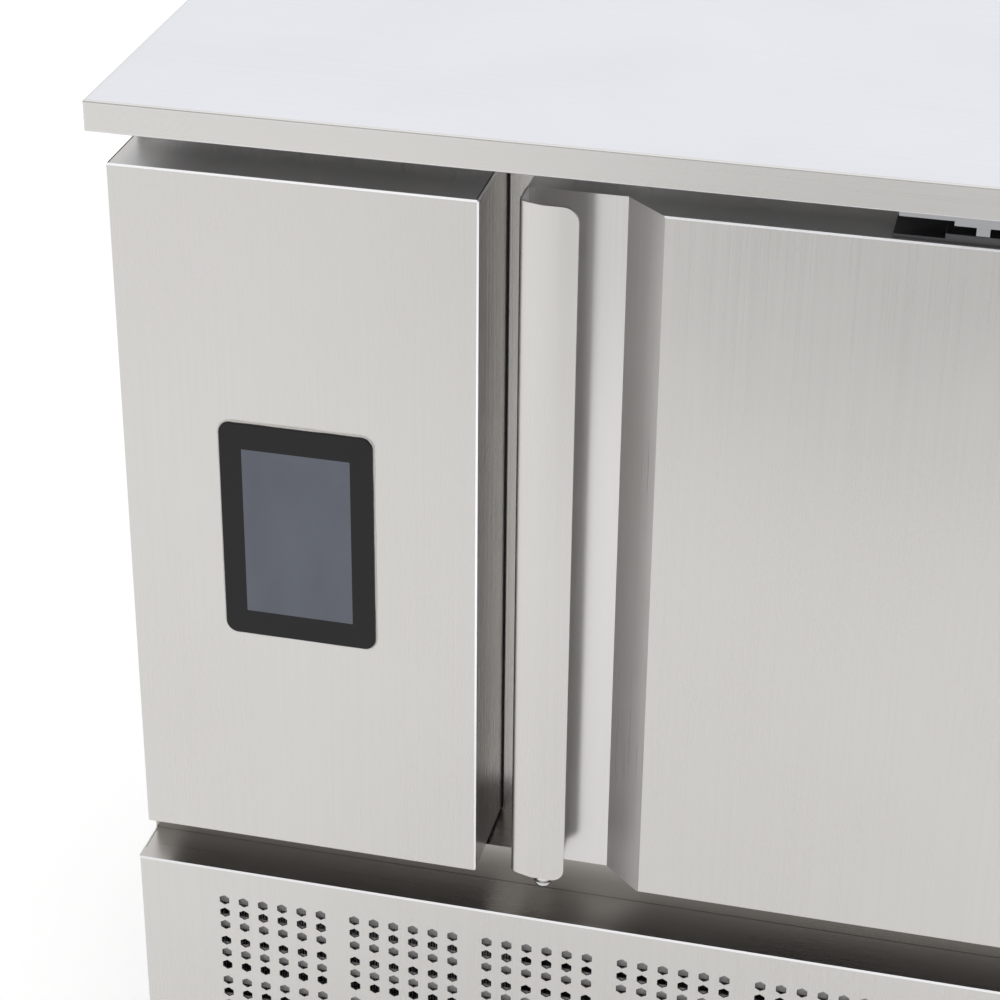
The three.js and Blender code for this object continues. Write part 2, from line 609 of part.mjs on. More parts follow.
function buildHandle() {
  const x0 = xDoor[0];
  const edge = x0 + HANDLE.width;
  const flangeEnd = x0 + HANDLE.flange;
  const yFace = yDoor - HANDLE.proud;
  const { bend, sheet, corner } = HANDLE;
  const centre = [x0 + bend, yFace + bend];
  const bendArc = (radius) => arc(centre, radius, [Math.PI, 1.5 * Math.PI], HANDLE.bendSteps);
  const plan = outline([
    [x0, yRecess], ...bendArc(bend), [edge, yFace], [edge, yFace + sheet],
    ...bendArc(bend - sheet).reverse(), [x0 + sheet, yRecess - sheet],
    [flangeEnd, yRecess - sheet], [flangeEnd, yRecess],
  ]);
  const plateY = grown([yFace, yFace + sheet], OVERCUT);
  const corners = [[zDoor, corner], [zDoorTop, -corner]].map(([z, inward]) => {
    const squareZ = ordered(z - Math.sign(inward), z + inward);
    const square = block([edge - corner, edge + OVERCUT], plateY, squareZ);
    return square.subtract(rod('Y', [edge - corner, z + inward], corner, grown(plateY, OVERCUT)));
  });
  const bar = cut(extrude(plan, 'Z', doorZ), corners);

  const screwX = x0 + END_SCREW.inset;
  const tabZ = [zDoor, zDoor + sheet];
  const tabEdge = screwX + END_SCREW.radius + END_SCREW.landing;
  const tab = outline([
    [x0 + sheet / 2, yRecess - sheet / 2], ...bendArc(bend - sheet / 2),
    [tabEdge, yFace + sheet / 2], [tabEdge, yRecess - sheet / 2],
  ]);
  place('door_handle', bar.add(extrude(tab, 'Z', tabZ)), steel, doorGroup);

  const { radius, height } = END_SCREW;
  const domeArc = arc([0, 0], 1, [-Math.PI / 2, 0], 3).slice(1, -1);
  const dome = turned([
    [0, -height], ...domeArc.map(([u, v]) => [u * radius, v * height]), [radius, 0], [0, 0]], MEDIUM_SIDES);
  place('handle_end_screw', dome.translate(screwX, yFace + END_SCREW.back, zDoor), galvanised, doorGroup);
}

// ---------------------------------------------------------------- hinges
const pinHole = (span) =>
  rod('Z', [pivot.x, pivot.y], PIN_RADIUS + RUNNING_GAP, grown(span, OVERCUT), MEDIUM_SIDES);
const pin = (span) => rod('Z', [pivot.x, pivot.y], PIN_RADIUS, span, MEDIUM_SIDES);

function buildUpperHinge() {
  const leafX = [xDoor[1] - LEAF.length, xDoor[1]];
  const leafY = [yDoor + LEAF.setback, yDoor + LEAF.setback + LEAF.depth];
  const stepX = [leafX[0] + LEAF.stepInset, leafX[1]];
  const thinTop = zDoorTop + LEAF.thin;
  const leafTop = thinTop + LEAF.thick;
  const leaf = block(leafX, leafY, [zDoorTop, thinTop]).add(block(stepX, leafY, [zDoorTop, leafTop]));
  place('upper_hinge_leaf', leaf.subtract(pinHole([zDoorTop, leafTop])), steel, doorGroup);

  const bracketY = [yDoor + LEAF.setback - BRACKET.overhang, yFrame];
  const plate = block(leafX, bracketY, [zTop - BRACKET.thin, zTop]);
  const stepFoot = zTop - BRACKET.thin - BRACKET.step;
  const step = block(stepX, [bracketY[0], leafY[1]], [stepFoot, zTop]);
  const riser = block(leafX, [yFrame - BRACKET.thin, yFrame], [zDoorTop + BRACKET.riserLift, zTop]);
  const postCentre = [xDoor[1] - STOP_POST.fromDoorSide, yDoor + STOP_POST.fromDoorFace];
  const post = rod('Z', postCentre, STOP_POST.radius, [leafTop + RUNNING_GAP, zTop], MEDIUM_SIDES);
  const upperPin = pin([zDoorTop + RUNNING_GAP, zTop]);
  place('upper_hinge_bracket', join([plate, step, riser, post, upperPin]), steel);
}

function buildLowerHinge() {
  const x = [pivot.x - LOWER_BRACKET.length / 2, xDoor[1]];
  const arm = block(x, [pivot.y - PIN_RADIUS - LOWER_BRACKET.margin, ySill],
    [zSill - LOWER_BRACKET.thickness, zSill]);
  const lip = block(x, [ySill - LOWER_BRACKET.thickness, ySill], [zSill - LOWER_BRACKET.lip, zSill]);
  const lowerPin = pin([zSill - OVERCUT, zDoor - RUNNING_GAP]);
  place('lower_hinge_bracket', join([arm, lip, lowerPin]), steel);
  const leafZ = [zSill + RUNNING_GAP, zDoor];
  const leafY = [yDoor + LEAF.setback, pivot.y + LOWER_BRACKET.leafOverlap];
  place('lower_hinge_leaf', block(x, leafY, leafZ).subtract(pinHole(leafZ)), steel, doorGroup);
}

// ---------------------------------------------------------------- fans
// A hub with twisted blades about the local Z axis, and a blind bore for its shaft.
function fanRotor({ hub, length, twist, bore }, radius) {
  const body = rod('Z', [0, 0], hub, [0, length], MEDIUM_SIDES);
  const root = hub - BLADES.rootLap;
  const blade = outline([
    [root, -hub * 0.5], [radius * 0.72, -radius * 0.32], [radius * 0.95, -radius * 0.2],
    [radius * 0.94, radius * 0.24], [radius * 0.6, radius * 0.2], [root, hub * 0.4]]);
  const flat = new THREE.ExtrudeGeometry(blade, { depth: BLADES.sheet, bevelEnabled: false });
  flat.translate(0, 0, -BLADES.sheet / 2).rotateX(THREE.MathUtils.degToRad(twist));
  flat.translate(0, 0, length / 2);
  const wings = series(BLADES.count, (i) =>
    toSolid(flat.clone().rotateZ((2 * Math.PI * i) / BLADES.count)));
  const shaftHole = rod('Z', [0, 0], bore, [length / 3, length + OVERCUT], SMALL_SIDES);
  return cut(join([body, ...wings]), [shaftHole]);
}

// A motor about the local Z axis whose shaft reaches into the rotor in front of it.
function fanMotor({ radius, length, shaft, gap }, rotorLength) {
  const reach = gap + rotorLength / 2;
  const crown = radius * 0.6;
  const chamfer = radius * 0.2;
  return turned([
    [0, -reach], [shaft, -reach], [shaft, 0], [crown, 0], [radius, chamfer],
    [radius, length - chamfer / 2], [radius - chamfer / 2, length], [0, length]], MEDIUM_SIDES);
}

const fanX = opening.x[0] - BAFFLE.fromOpening;
const fanY = mean(chamber.y);
const fanShare = (chamberHeight - 2 * FAN_MARGIN) / 2;
const fanRadius = fanShare / 2 - FAN_SPACING;
const fanHeights = {
  lower: chamber.z[0] + FAN_MARGIN + fanShare / 2,
  upper: chamber.z[1] - FAN_MARGIN - fanShare / 2,
};
const ductRadius = fanRadius + DUCT.clearance;
const rotorFront = fanX - EVAPORATOR_FAN.setback;
const motorFront = rotorFront - EVAPORATOR_FAN.length - EVAPORATOR_MOTOR.gap;
const motorBack = motorFront - EVAPORATOR_MOTOR.length;
const baffleX = [fanX, fanX + SHEET];

function buildBaffle() {
  const baffleY = grown(chamber.y, -BAFFLE.edgeGap);
  const sheet = block(baffleX, baffleY, chamber.z);
  const ductX = [fanX - DUCT.length, fanX + SHEET / 2];
  const levels = Object.values(fanHeights);
  const ducts = levels.map((z) => ring('X', [fanY, z], ductRadius, ductRadius + DUCT.wall, ductX));
  const bores = levels.map((z) => rod('X', [fanY, z], ductRadius, grown(baffleX, OVERCUT)));
  const landHeight = 2 * BAFFLE.slotEdge + (BAFFLE.slots - 1) * BAFFLE.slotLand;
  const slotHeight = (chamberHeight - landHeight) / BAFFLE.slots;
  const slotFronts = [
    baffleY[0] + BAFFLE.slotInset,
    baffleY[1] - BAFFLE.slotInset - BAFFLE.slotWidth,
  ];
  const slots = slotFronts.flatMap((y) => series(BAFFLE.slots, (i) => {
    const foot = chamber.z[0] + BAFFLE.slotEdge + i * (slotHeight + BAFFLE.slotLand);
    return block(grown(baffleX, OVERCUT), [y, y + BAFFLE.slotWidth], [foot, foot + slotHeight]);
  }));
  place('fan_baffle', cut(sheet, [...bores, ...slots]).add(join(ducts)), linerSteel);

  const webX = [motorBack - FAN_BAR.sheet, motorBack];
  const barX = [webX[0] - FAN_BAR.depth, webX[1]];
  const barY = about(fanY, FAN_BAR.width);
  const channelY = grown(barY, -FAN_BAR.sheet);
  const channel = block([barX[0] - OVERCUT, webX[0]], channelY, grown(chamber.z, OVERCUT));
  place('fan_bar', block(barX, barY, chamber.z).subtract(channel), galvanised);
}

function buildFans() {
  const facing = [0, -Math.PI / 2, 0];
  const guardX = [baffleX[1], baffleX[1] + GUARD.wire];
  const rings = [fanRadius - GUARD.inner, fanRadius + GUARD.outer];
  const reach = rings[1] + GUARD.wire;
  for (const [level, z] of Object.entries(fanHeights)) {
    const rotor = fanRotor(EVAPORATOR_FAN, fanRadius);
    mount(`evaporator_fan_${level}`, rotor, blackPlastic, [rotorFront, fanY, z], facing);
    const motor = fanMotor(EVAPORATOR_MOTOR, EVAPORATOR_FAN.length);
    mount(`evaporator_motor_${level}`, motor, galvanised, [motorFront, fanY, z], facing);
    const wires = rings.map((radius) =>
      ring('X', [fanY, z], radius, radius + GUARD.wire, guardX, MEDIUM_SIDES));
    const spokes = [
      block(guardX, about(fanY, 2 * reach), about(z, GUARD.wire)),
      block(guardX, about(fanY, GUARD.wire), about(z, 2 * reach)),
    ];
    place(`fan_guard_${level}`, join([...wires, ...spokes]), steel);
  }
}

// ---------------------------------------------------------------- chamber fittings
function buildRacks() {
  const rackY = [chamber.y[0] + RACK.frontGap, chamber.y[1] - RACK.backGap];
  const pitch = (chamberHeight - TRAY.firstLevel - TRAY.headroom) / (TRAY.levels - 1);
  const faces = [
    ['tray_rack_left', opening.x[0] + RACK.fromOpening, -1],
    ['tray_rack_right', opening.x[1] - RACK.fromOpening, 1],
  ];
  for (const [name, face, side] of faces) {
    const span = (from, to) => ordered(face + side * from, face + side * to);
    const ledges = series(TRAY.levels, (i) => {
      const z = chamber.z[0] + TRAY.firstLevel + i * pitch;
      return block(span(-TRAY.side - TRAY.support, RACK.lap), rackY, [z - RACK.ledge, z]);
    });
    const postFronts = [rackY[0] + RACK_POST.inset, rackY[1] - RACK_POST.inset - RACK_POST.width];
    const postX = span(0, RACK_POST.depth);
    const posts = postFronts.map((y) => block(postX, [y, y + RACK_POST.width], chamber.z));
    place(name, join([...posts, ...ledges]), steel);
  }
}

function buildSensor() {
  const clipX = [baffleX[1], baffleX[1] + SENSOR.clip];
  const clipFront = chamber.y[0] + SENSOR.fromFront;
  const clipY = [clipFront, clipFront + SENSOR.clipWidth];
  const clipTop = chamber.z[1] - SENSOR.fromRoof;
  const clip = block(clipX, clipY, [clipTop - SENSOR.clip, clipTop]);
  const bulbZ = [clipTop - SENSOR.length, clipTop + SENSOR.proud];
  const bulb = rod('Z', [clipX[1], mean(clipY)], SENSOR.radius, bulbZ, SMALL_SIDES);
  place('air_sensor', clip.add(bulb), galvanised);
}

// A fin pack with end plates that reach down to a foot. Air passes along the axis given.
function finnedCoil({ x, y, z }, axis, foot) {
  const [along, depth] = axis === 'X' ? [y, x] : [x, y];
  const at = (a, d, h) => (axis === 'X' ? block(d, a, h) : block(a, d, h));
  const pitch = (along[1] - along[0]) / (COIL.grooves + 1);
  const grooveDepth = [depth[0] - OVERCUT, depth[0] + COIL.grooveDepth];
  const grooves = series(COIL.grooves, (i) =>
    at(about(along[0] + (i + 1) * pitch, COIL.groove), grooveDepth, grown(z, OVERCUT)));
  const ends = [
    [along[0] - COIL.plate, along[0] + COIL.lap],
    [along[1] - COIL.lap, along[1] + COIL.plate],
  ];
  const plates = ends.map((span) => at(span, depth, [foot, z[1] + COIL.overhang]));
  return join([cut(at(along, depth, z), grooves), ...plates]);
}

function buildEvaporator() {
  const foot = chamber.z[0] + DRIP_TRAY.sheet;
  const coil = finnedCoil(evaporator, 'X', foot);
  const bendX = evaporator.x[1] - BENDS.inset;
  const start = evaporatorEnd - COIL.lap;
  const bends = series(BENDS.count, (i) => {
    const z = evaporator.z[0] + BENDS.first + i * BENDS.pitch;
    return pipe([
      [bendX, start, z], [bendX, start + BENDS.reach, z],
      [bendX, start + BENDS.reach, z + BENDS.rise], [bendX, start, z + BENDS.rise],
    ], BENDS.tube, BENDS.radius);
  });
  place('evaporator_coil', join([coil, ...bends]), finAluminium);

  const trayX = grown(evaporator.x, DRIP_TRAY.margin);
  const trayY = grown([evaporator.y[0] - COIL.plate, evaporatorEnd], DRIP_TRAY.margin);
  const tray = block(trayX, trayY, [chamber.z[0], chamber.z[0] + DRIP_TRAY.rim]);
  const wellTop = chamber.z[0] + DRIP_TRAY.rim + OVERCUT;
  const well = block(grown(trayX, -DRIP_TRAY.sheet), grown(trayY, -DRIP_TRAY.sheet), [foot, wellTop]);
  const bore = DRAIN.radius - DRAIN.wall;
  const hole = rod('Z', drainPort, bore, grown([chamber.z[0], foot], OVERCUT), MEDIUM_SIDES);
  place('drip_tray', cut(tray, [well, hole]), linerSteel);
  const drainZ = [zBay - DRAIN.tail, chamber.z[0] - RUNNING_GAP];
  place('drain_pipe', ring('Z', drainPort, bore, DRAIN.radius, drainZ, SMALL_SIDES), greyPlastic);
}

// ---------------------------------------------------------------- condensing unit
const condenserLeft = -xSide + CONDENSER.fromSide;
const condenserFront = yGrille + CONDENSER.fromGrille;
const condenser = {
  x: [condenserLeft, condenserLeft + CONDENSER.width],
  y: [condenserFront, condenserFront + CONDENSER.thickness],
  z: [zFloor + COIL.overhang, zBay - CONDENSER.headroom],
};
const condenserEnd = condenser.x[1] + COIL.plate;
const condenserFanRadius = (condenser.z[1] - condenser.z[0]) / 2 - CONDENSER_FAN.margin;
const condenserCentre = [mean(condenser.x), mean(condenser.z)];
const shroudBack = condenser.y[1] + SHROUD.depth;
const collarBack = shroudBack + SHROUD.ductLength;

function buildCondenser() {
  const bend = CONDENSER_BENDS;
  const start = condenserEnd - COIL.lap;
  const tip = condenserEnd + bend.reach;
  const yNear = condenser.y[0] + bend.inset;
  const yFar = yNear + bend.depth;
  const tubes = series(bend.count, (i) => {
    const z = condenser.z[0] + bend.first + i * bend.pitch;
    return pipe([[start, yNear, z], [tip, yNear, z], [tip, yFar, z], [start, yFar, z]],
      bend.tube, bend.radius);
  });
  place('condenser_coil', join([finnedCoil(condenser, 'Y', zFloor), ...tubes]), finAluminium);

  const duct = condenserFanRadius + DUCT.clearance;
  const hoodZ = [zFloor, condenser.z[1]];
  const hood = block(condenser.x, [condenser.y[1], shroudBack], hoodZ);
  const hoodHollow = block(grown(condenser.x, -SHROUD.sheet),
    [condenser.y[1] - OVERCUT, shroudBack - SHROUD.sheet], grown(hoodZ, -SHROUD.sheet));
  const bore = rod('Y', condenserCentre, duct, grown([shroudBack - SHROUD.sheet, shroudBack], OVERCUT));
  const collarY = [shroudBack - SHROUD.sheet / 2, collarBack];
  const collar = ring('Y', condenserCentre, duct, duct + DUCT.wall, collarY);
  place('condenser_shroud', cut(hood, [hoodHollow, bore]).add(collar), galvanised);
}

function buildCondenserFan() {
  const [x, z] = condenserCentre;
  const facing = [-Math.PI / 2, 0, 0];
  const rotor = fanRotor(CONDENSER_FAN, condenserFanRadius);
  mount('condenser_fan', rotor, blackPlastic, [x, collarBack - CONDENSER_FAN.length, z], facing);
  const motorY = collarBack + CONDENSER_MOTOR.gap;
  const motor = fanMotor(CONDENSER_MOTOR, CONDENSER_FAN.length);
  mount('condenser_motor', motor, galvanised, [x, motorY, z], facing);

  const standX = about(x, MOTOR_STAND.width);
  const standFront = motorY + CONDENSER_MOTOR.length;
  const standY = [standFront, standFront + FAN_BAR.sheet];
  const upright = block(standX, standY, [zFloor, z + MOTOR_STAND.width / 2]);
  const footY = [standFront, standY[1] + MOTOR_STAND.foot];
  const foot = block(standX, footY, [zFloor, zFloor + FAN_BAR.sheet]);
  place('condenser_motor_stand', upright.add(foot), galvanised);
}

const compressorCentre = [xSide - COMPRESSOR.fromSide, yBack - COMPRESSOR.fromBack];

function buildCompressor() {
  const { radius, shoulder } = COMPRESSOR;
  const [x, y] = compressorCentre;
  const plateFoot = zFloor + COMPRESSOR_BASE.rubber;
  const plateTop = plateFoot + COMPRESSOR_BASE.plate;
  const spanX = about(x, COMPRESSOR_BASE.width);
  const spanY = about(y, COMPRESSOR_BASE.depth);
  const rubberZ = [zFloor, plateFoot + OVERCUT];
  const rubbers = grown(spanX, -COMPRESSOR_BASE.inset).flatMap((rx) =>
    grown(spanY, -COMPRESSOR_BASE.inset).map((ry) =>
      rod('Z', [rx, ry], COMPRESSOR_BASE.rubberRadius, rubberZ, SMALL_SIDES)));
  const plate = block(spanX, spanY, [plateFoot, plateTop]);
  place('compressor_base', join([plate, ...rubbers]), galvanised);

  const height = zBay - COMPRESSOR.headroom - plateTop;
  const crown = arc([0, 0], 1, [0, Math.PI / 2], 3).slice(0, -1);
  const can = turned([
    [0, 0], [radius * 0.55, 0], [radius * 0.92, shoulder * 0.45], [radius, shoulder],
    ...crown.map(([u, v]) => [u * radius, height - shoulder + v * shoulder]), [0, height]], ROUND_SIDES);
  const boxX = [x + radius - TERMINAL_BOX.lap, x + radius + TERMINAL_BOX.reach];
  const boxFoot = plateTop + TERMINAL_BOX.lift;
  const box = block(boxX, about(y, TERMINAL_BOX.width), [boxFoot, boxFoot + TERMINAL_BOX.height]);
  place('compressor', can.translate(x, y, plateTop).add(box), blackEnamel);
}

const receiverLeft = condenser.x[1] + RECEIVER.fromCondenser;
const receiverAxis = zFloor + RECEIVER.axis;
const drierEnd = receiverLeft - RUNNING_GAP;

// A profile turned about a line along +X, starting at the place given.
const turnedAlongX = (profile, [x, y, z], sides) =>
  turned(profile, sides).rotate([0, 90, 0]).translate(x, y, z);

function buildReceiver() {
  const y = liquidPort[1];
  const { length, radius, crown } = RECEIVER;
  const tank = turnedAlongX([
    [0, 0], [radius * 0.7, crown * 0.2], [radius, crown], [radius, length - crown],
    [radius * 0.7, length - crown * 0.2], [0, length]], [receiverLeft, y, receiverAxis], MEDIUM_SIDES);
  const legLefts = [
    receiverLeft + RECEIVER.legInset,
    receiverLeft + length - RECEIVER.legInset - RECEIVER.leg,
  ];
  const legZ = [zFloor, receiverAxis - radius / 2];
  const legs = legLefts.map((x) => block([x, x + RECEIVER.leg], about(y, RECEIVER.legWidth), legZ));
  place('liquid_receiver', join([tank, ...legs]), blackEnamel);

  const shoulder = (DRIER.length - DRIER.body) / 2;
  const drier = turnedAlongX([
    [0, 0], [DRIER.neck, 0], [DRIER.neck, shoulder - DRIER.taper], [DRIER.radius, shoulder],
    [DRIER.radius, shoulder + DRIER.body], [DRIER.neck, shoulder + DRIER.body + DRIER.taper],
    [DRIER.neck, DRIER.length], [0, DRIER.length]],
  [drierEnd - DRIER.length, y, receiverAxis], MEDIUM_SIDES);
  place('filter_drier', drier, copper);
}

function buildLines() {
  const coilFace = evaporatorEnd + RUNNING_GAP;
  const liquidTop = evaporator.z[0] + LIQUID.coilRise;
  const drierStart = drierEnd - DRIER.length - RUNNING_GAP;
  const [liquidX, liquidY] = liquidPort;
  place('liquid_line', pipe([
    [drierStart, liquidY, receiverAxis], [liquidX, liquidY, receiverAxis],
    [liquidX, liquidY, liquidTop], [liquidX, coilFace, liquidTop]], LIQUID.radius), copper);

  const [suctionX, suctionY] = suctionPort;
  const suctionTop = evaporator.z[1] - SUCTION.coilDrop;
  const [shellX, shellY] = compressorCentre;
  const shell = shellX - COMPRESSOR.radius - RUNNING_GAP;
  const entry = zFloor + SUCTION.entry;
  const high = zBay - SUCTION.bayDrop;
  const drop = shell - SUCTION.stand;
  place('suction_line', pipe([
    [suctionX, coilFace, suctionTop], [suctionX, suctionY, suctionTop], [suctionX, suctionY, high],
    [drop, suctionY, high], [drop, shellY, high], [drop, shellY, entry], [shell, shellY, entry],
  ], SUCTION.radius), copper);

  const coilOut = condenserEnd + RUNNING_GAP;
  const coilY = condenser.y[1] - DISCHARGE.coilInset;
  const front = shellY - COMPRESSOR.radius - RUNNING_GAP;
  const exit = zFloor + DISCHARGE.exit;
  const riserX = coilOut + DISCHARGE.coilStand;
  const crossY = front - DISCHARGE.stand;
  place('discharge_line', pipe([
    [shellX, front, exit], [shellX, crossY, exit], [riserX, crossY, exit],
    [riserX, coilY, exit], [coilOut, coilY, exit]], LIQUID.radius), copper);
  const inletX = coilOut + CONDENSATE_STAND;
  const inletY = liquidY - RECEIVER.radius - RUNNING_GAP;
  place('condensate_line', pipe([
    [coilOut, coilY, receiverAxis], [inletX, coilY, receiverAxis],
    [inletX, inletY, receiverAxis]], LIQUID.radius), copper);
}

// ---------------------------------------------------------------- power entry
function buildPowerEntry() {
  const right = xSide - POWER_BOX.fromSide;
  const back = yBack - POWER_BOX.fromBack;
  const x = [right - POWER_BOX.width, right];
  const y = [back - POWER_BOX.depth, back];
  const boxTop = zFloor + POWER_BOX.height;
  const lidZ = [boxTop - POWER_BOX.skirt, boxTop + POWER_BOX.lid];
  const lid = block(grown(x, POWER_BOX.lid), grown(y, POWER_BOX.lid), lidZ);
  place('power_box', block(x, y, [zFloor, boxTop]).add(lid), greyPlastic);

  const innerFace = yBack - SHEET;
  const nut = extrude(polygon(glandCentre, GLAND.nut, 6), 'Y', [yBack, wholeY[1]]);
  const lockNut = extrude(polygon(glandCentre, GLAND.nut, 6), 'Y', [innerFace - GLAND.inner, innerFace]);
  const shank = rod('Y', glandCentre, GLAND.shank, grown([innerFace, yBack], OVERCUT), MEDIUM_SIDES);
  const boreY = grown([innerFace - GLAND.inner, wholeY[1]], OVERCUT);
  const bore = rod('Y', glandCentre, GLAND.bore, boreY, MEDIUM_SIDES);
  place('mains_inlet_gland', cut(join([nut, shank, lockNut]), [bore]), blackPlastic);
}

buildWorktop();
buildCabinet();
buildControlBox();
buildElectrics();
buildGrille();
buildBay();
buildRearPanel();
buildFeet();
buildDoor();
buildGasket();
buildHandle();
buildUpperHinge();
buildLowerHinge();
buildBaffle();
buildFans();
buildRacks();
buildSensor();
buildEvaporator();
buildCondenser();
buildCondenserFan();
buildCompressor();
buildReceiver();
buildLines();
buildPowerEntry();

export default chiller;
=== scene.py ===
"""Looks for a blast chiller: camera, studio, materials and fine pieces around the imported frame.

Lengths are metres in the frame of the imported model: the floor is z = 0, the front faces -Y.
"""
import json
import math

import bmesh
import bpy
from mathutils import Matrix, Vector


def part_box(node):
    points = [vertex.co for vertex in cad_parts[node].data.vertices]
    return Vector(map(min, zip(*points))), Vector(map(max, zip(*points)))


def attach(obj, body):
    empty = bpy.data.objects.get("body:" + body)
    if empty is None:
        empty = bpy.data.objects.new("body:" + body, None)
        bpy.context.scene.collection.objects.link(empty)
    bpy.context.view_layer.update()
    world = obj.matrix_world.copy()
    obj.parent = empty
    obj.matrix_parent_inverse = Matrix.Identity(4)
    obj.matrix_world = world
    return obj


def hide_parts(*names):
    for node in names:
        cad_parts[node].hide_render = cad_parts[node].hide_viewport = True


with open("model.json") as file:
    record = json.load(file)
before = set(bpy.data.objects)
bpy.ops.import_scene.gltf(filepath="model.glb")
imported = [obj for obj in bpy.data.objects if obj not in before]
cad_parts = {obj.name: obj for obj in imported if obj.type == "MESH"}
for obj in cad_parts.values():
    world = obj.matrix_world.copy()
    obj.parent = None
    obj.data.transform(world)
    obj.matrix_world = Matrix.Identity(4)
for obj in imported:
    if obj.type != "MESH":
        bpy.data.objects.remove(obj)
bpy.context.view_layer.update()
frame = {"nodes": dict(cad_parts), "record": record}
nodes = frame["nodes"]
BODIES = frame["record"]["behaviour"]["bodies"]
SLOTS = {row["node"]: row["material_slot"] for row in frame["record"]["subparts"]}
scene = bpy.context.scene
scene.view_settings.view_transform = "Standard"
MM = 0.001

# ---------------------------------------------------------------- camera
PHOTO_SIDE = 1000
FOCAL_PIXELS = 2700.3
SENSOR_WIDTH = 36.0
CAMERA_PLACE = (0.3309, -2.2241, 1.7634)
CAMERA_YAW, CAMERA_PITCH, CAMERA_ROLL = 13.948, 28.183, 0.207
CAMERA_SHIFT = (0.03, -0.06)


def make_camera():
    data = bpy.data.cameras.new("camera")
    data.sensor_width = SENSOR_WIDTH
    data.lens = SENSOR_WIDTH * FOCAL_PIXELS / PHOTO_SIDE
    data.shift_x, data.shift_y = CAMERA_SHIFT
    camera = bpy.data.objects.new("camera", data)
    turn = Matrix.Rotation(math.radians(CAMERA_YAW), 4, "Z")
    tilt = Matrix.Rotation(math.radians(90 - CAMERA_PITCH), 4, "X")
    roll = Matrix.Rotation(math.radians(CAMERA_ROLL), 4, "Z")
    camera.matrix_world = Matrix.Translation(CAMERA_PLACE) @ turn @ tilt @ roll
    scene.collection.objects.link(camera)
    scene.camera = camera


# ---------------------------------------------------------------- node graphs
class Graph:
    """A shader tree under construction."""

    def __init__(self, tree):
        self.tree = tree

    def add(self, kind, inputs=None, **settings):
        node = self.tree.nodes.new(kind)
        for key, value in settings.items():
            setattr(node, key, value)
        for key, value in (inputs or {}).items():
            if isinstance(value, bpy.types.NodeSocket):
                self.tree.links.new(value, node.inputs[key])
            else:
                node.inputs[key].default_value = value
        return node

    def total(self, a, b):
        return self.add("ShaderNodeMath", {0: a, 1: b}, operation="ADD").outputs[0]

    def product(self, a, b):
        return self.add("ShaderNodeMath", {0: a, 1: b}, operation="MULTIPLY").outputs[0]

    def span(self, value, low, high, from_low=0.3, from_high=0.7):
        inputs = {0: value, 1: from_low, 2: from_high, 3: low, 4: high}
        return self.add("ShaderNodeMapRange", inputs, clamp=True).outputs[0]


ANY_WAY = (0.011, 0.017, 0.013)  # for faces that look along the grain


class Look(Graph):
    """A node material under construction."""

    def __init__(self, name, colour, **values):
        self.material = bpy.data.materials.new(name)
        self.material.use_nodes = True
        super().__init__(self.material.node_tree)
        self.shader = self.tree.nodes["Principled BSDF"]
        self.colour = colour
        self.shader.inputs["Base Color"].default_value = (*colour, 1)
        for socket, value in values.items():
            self.shader.inputs[socket.replace("_", " ")].default_value = value
        self.place = self.add("ShaderNodeTexCoord").outputs["Object"]

    def stretched(self, stretch):
        mapping = self.add("ShaderNodeMapping", {"Vector": self.place, "Scale": stretch})
        return mapping.outputs["Vector"]

    def noise(self, stretch, detail=2.0, roughness=0.5):
        """A noise whose cells are 1/stretch metres long on each axis."""
        inputs = {"Vector": self.stretched(stretch), "Scale": 1.0}
        inputs |= {"Detail": detail, "Roughness": roughness}
        return self.add("ShaderNodeTexNoise", inputs).outputs["Fac"]

    def cells(self, stretch):
        """A random shade for each cell 1/stretch metres wide."""
        inputs = {"Vector": self.stretched(stretch), "Scale": 1.0}
        voronoi = self.add("ShaderNodeTexVoronoi", inputs)
        grey = self.add("ShaderNodeSeparateColor", {"Color": voronoi.outputs["Color"]})
        return grey.outputs[0]

    def stripes(self, axis, pitch):
        """A wave from 0 to 1 along an axis, one for each pitch."""
        turns = math.pi / (10 * pitch)
        stretch = [turns if i == axis else 0 for i in range(3)]
        inputs = {"Vector": self.stretched(stretch), "Scale": 1.0}
        wave = self.add("ShaderNodeTexWave", inputs, bands_direction="XYZ"[axis])
        return wave.outputs["Fac"]

    def shade(self, factor):
        """The base colour times a factor that varies around 1."""
        scaled = self.add("ShaderNodeVectorMath", {0: self.colour, 3: factor}, operation="SCALE")
        self.tree.links.new(scaled.outputs[0], self.shader.inputs["Base Color"])

    def rough(self, value):
        self.tree.links.new(value, self.shader.inputs["Roughness"])

    def spread_across(self, grain):
        """Highlights spread across the grain, whichever way the face looks."""
        normal = self.add("ShaderNodeNewGeometry").outputs["Normal"]
        inputs = {0: normal, 1: grain}
        across = self.add("ShaderNodeVectorMath", inputs, operation="CROSS_PRODUCT")
        inputs = {0: across.outputs[0], 1: ANY_WAY}
        steady = self.add("ShaderNodeVectorMath", inputs, operation="ADD")
        self.tree.links.new(steady.outputs[0], self.shader.inputs["Tangent"])

    def bump(self, height, strength, distance=MM):
        inputs = {"Height": height, "Strength": strength, "Distance": distance}
        bump = self.add("ShaderNodeBump", inputs)
        self.tree.links.new(bump.outputs[0], self.shader.inputs["Normal"])


# ---------------------------------------------------------------- materials
STEEL = (0.640, 0.626, 0.606)


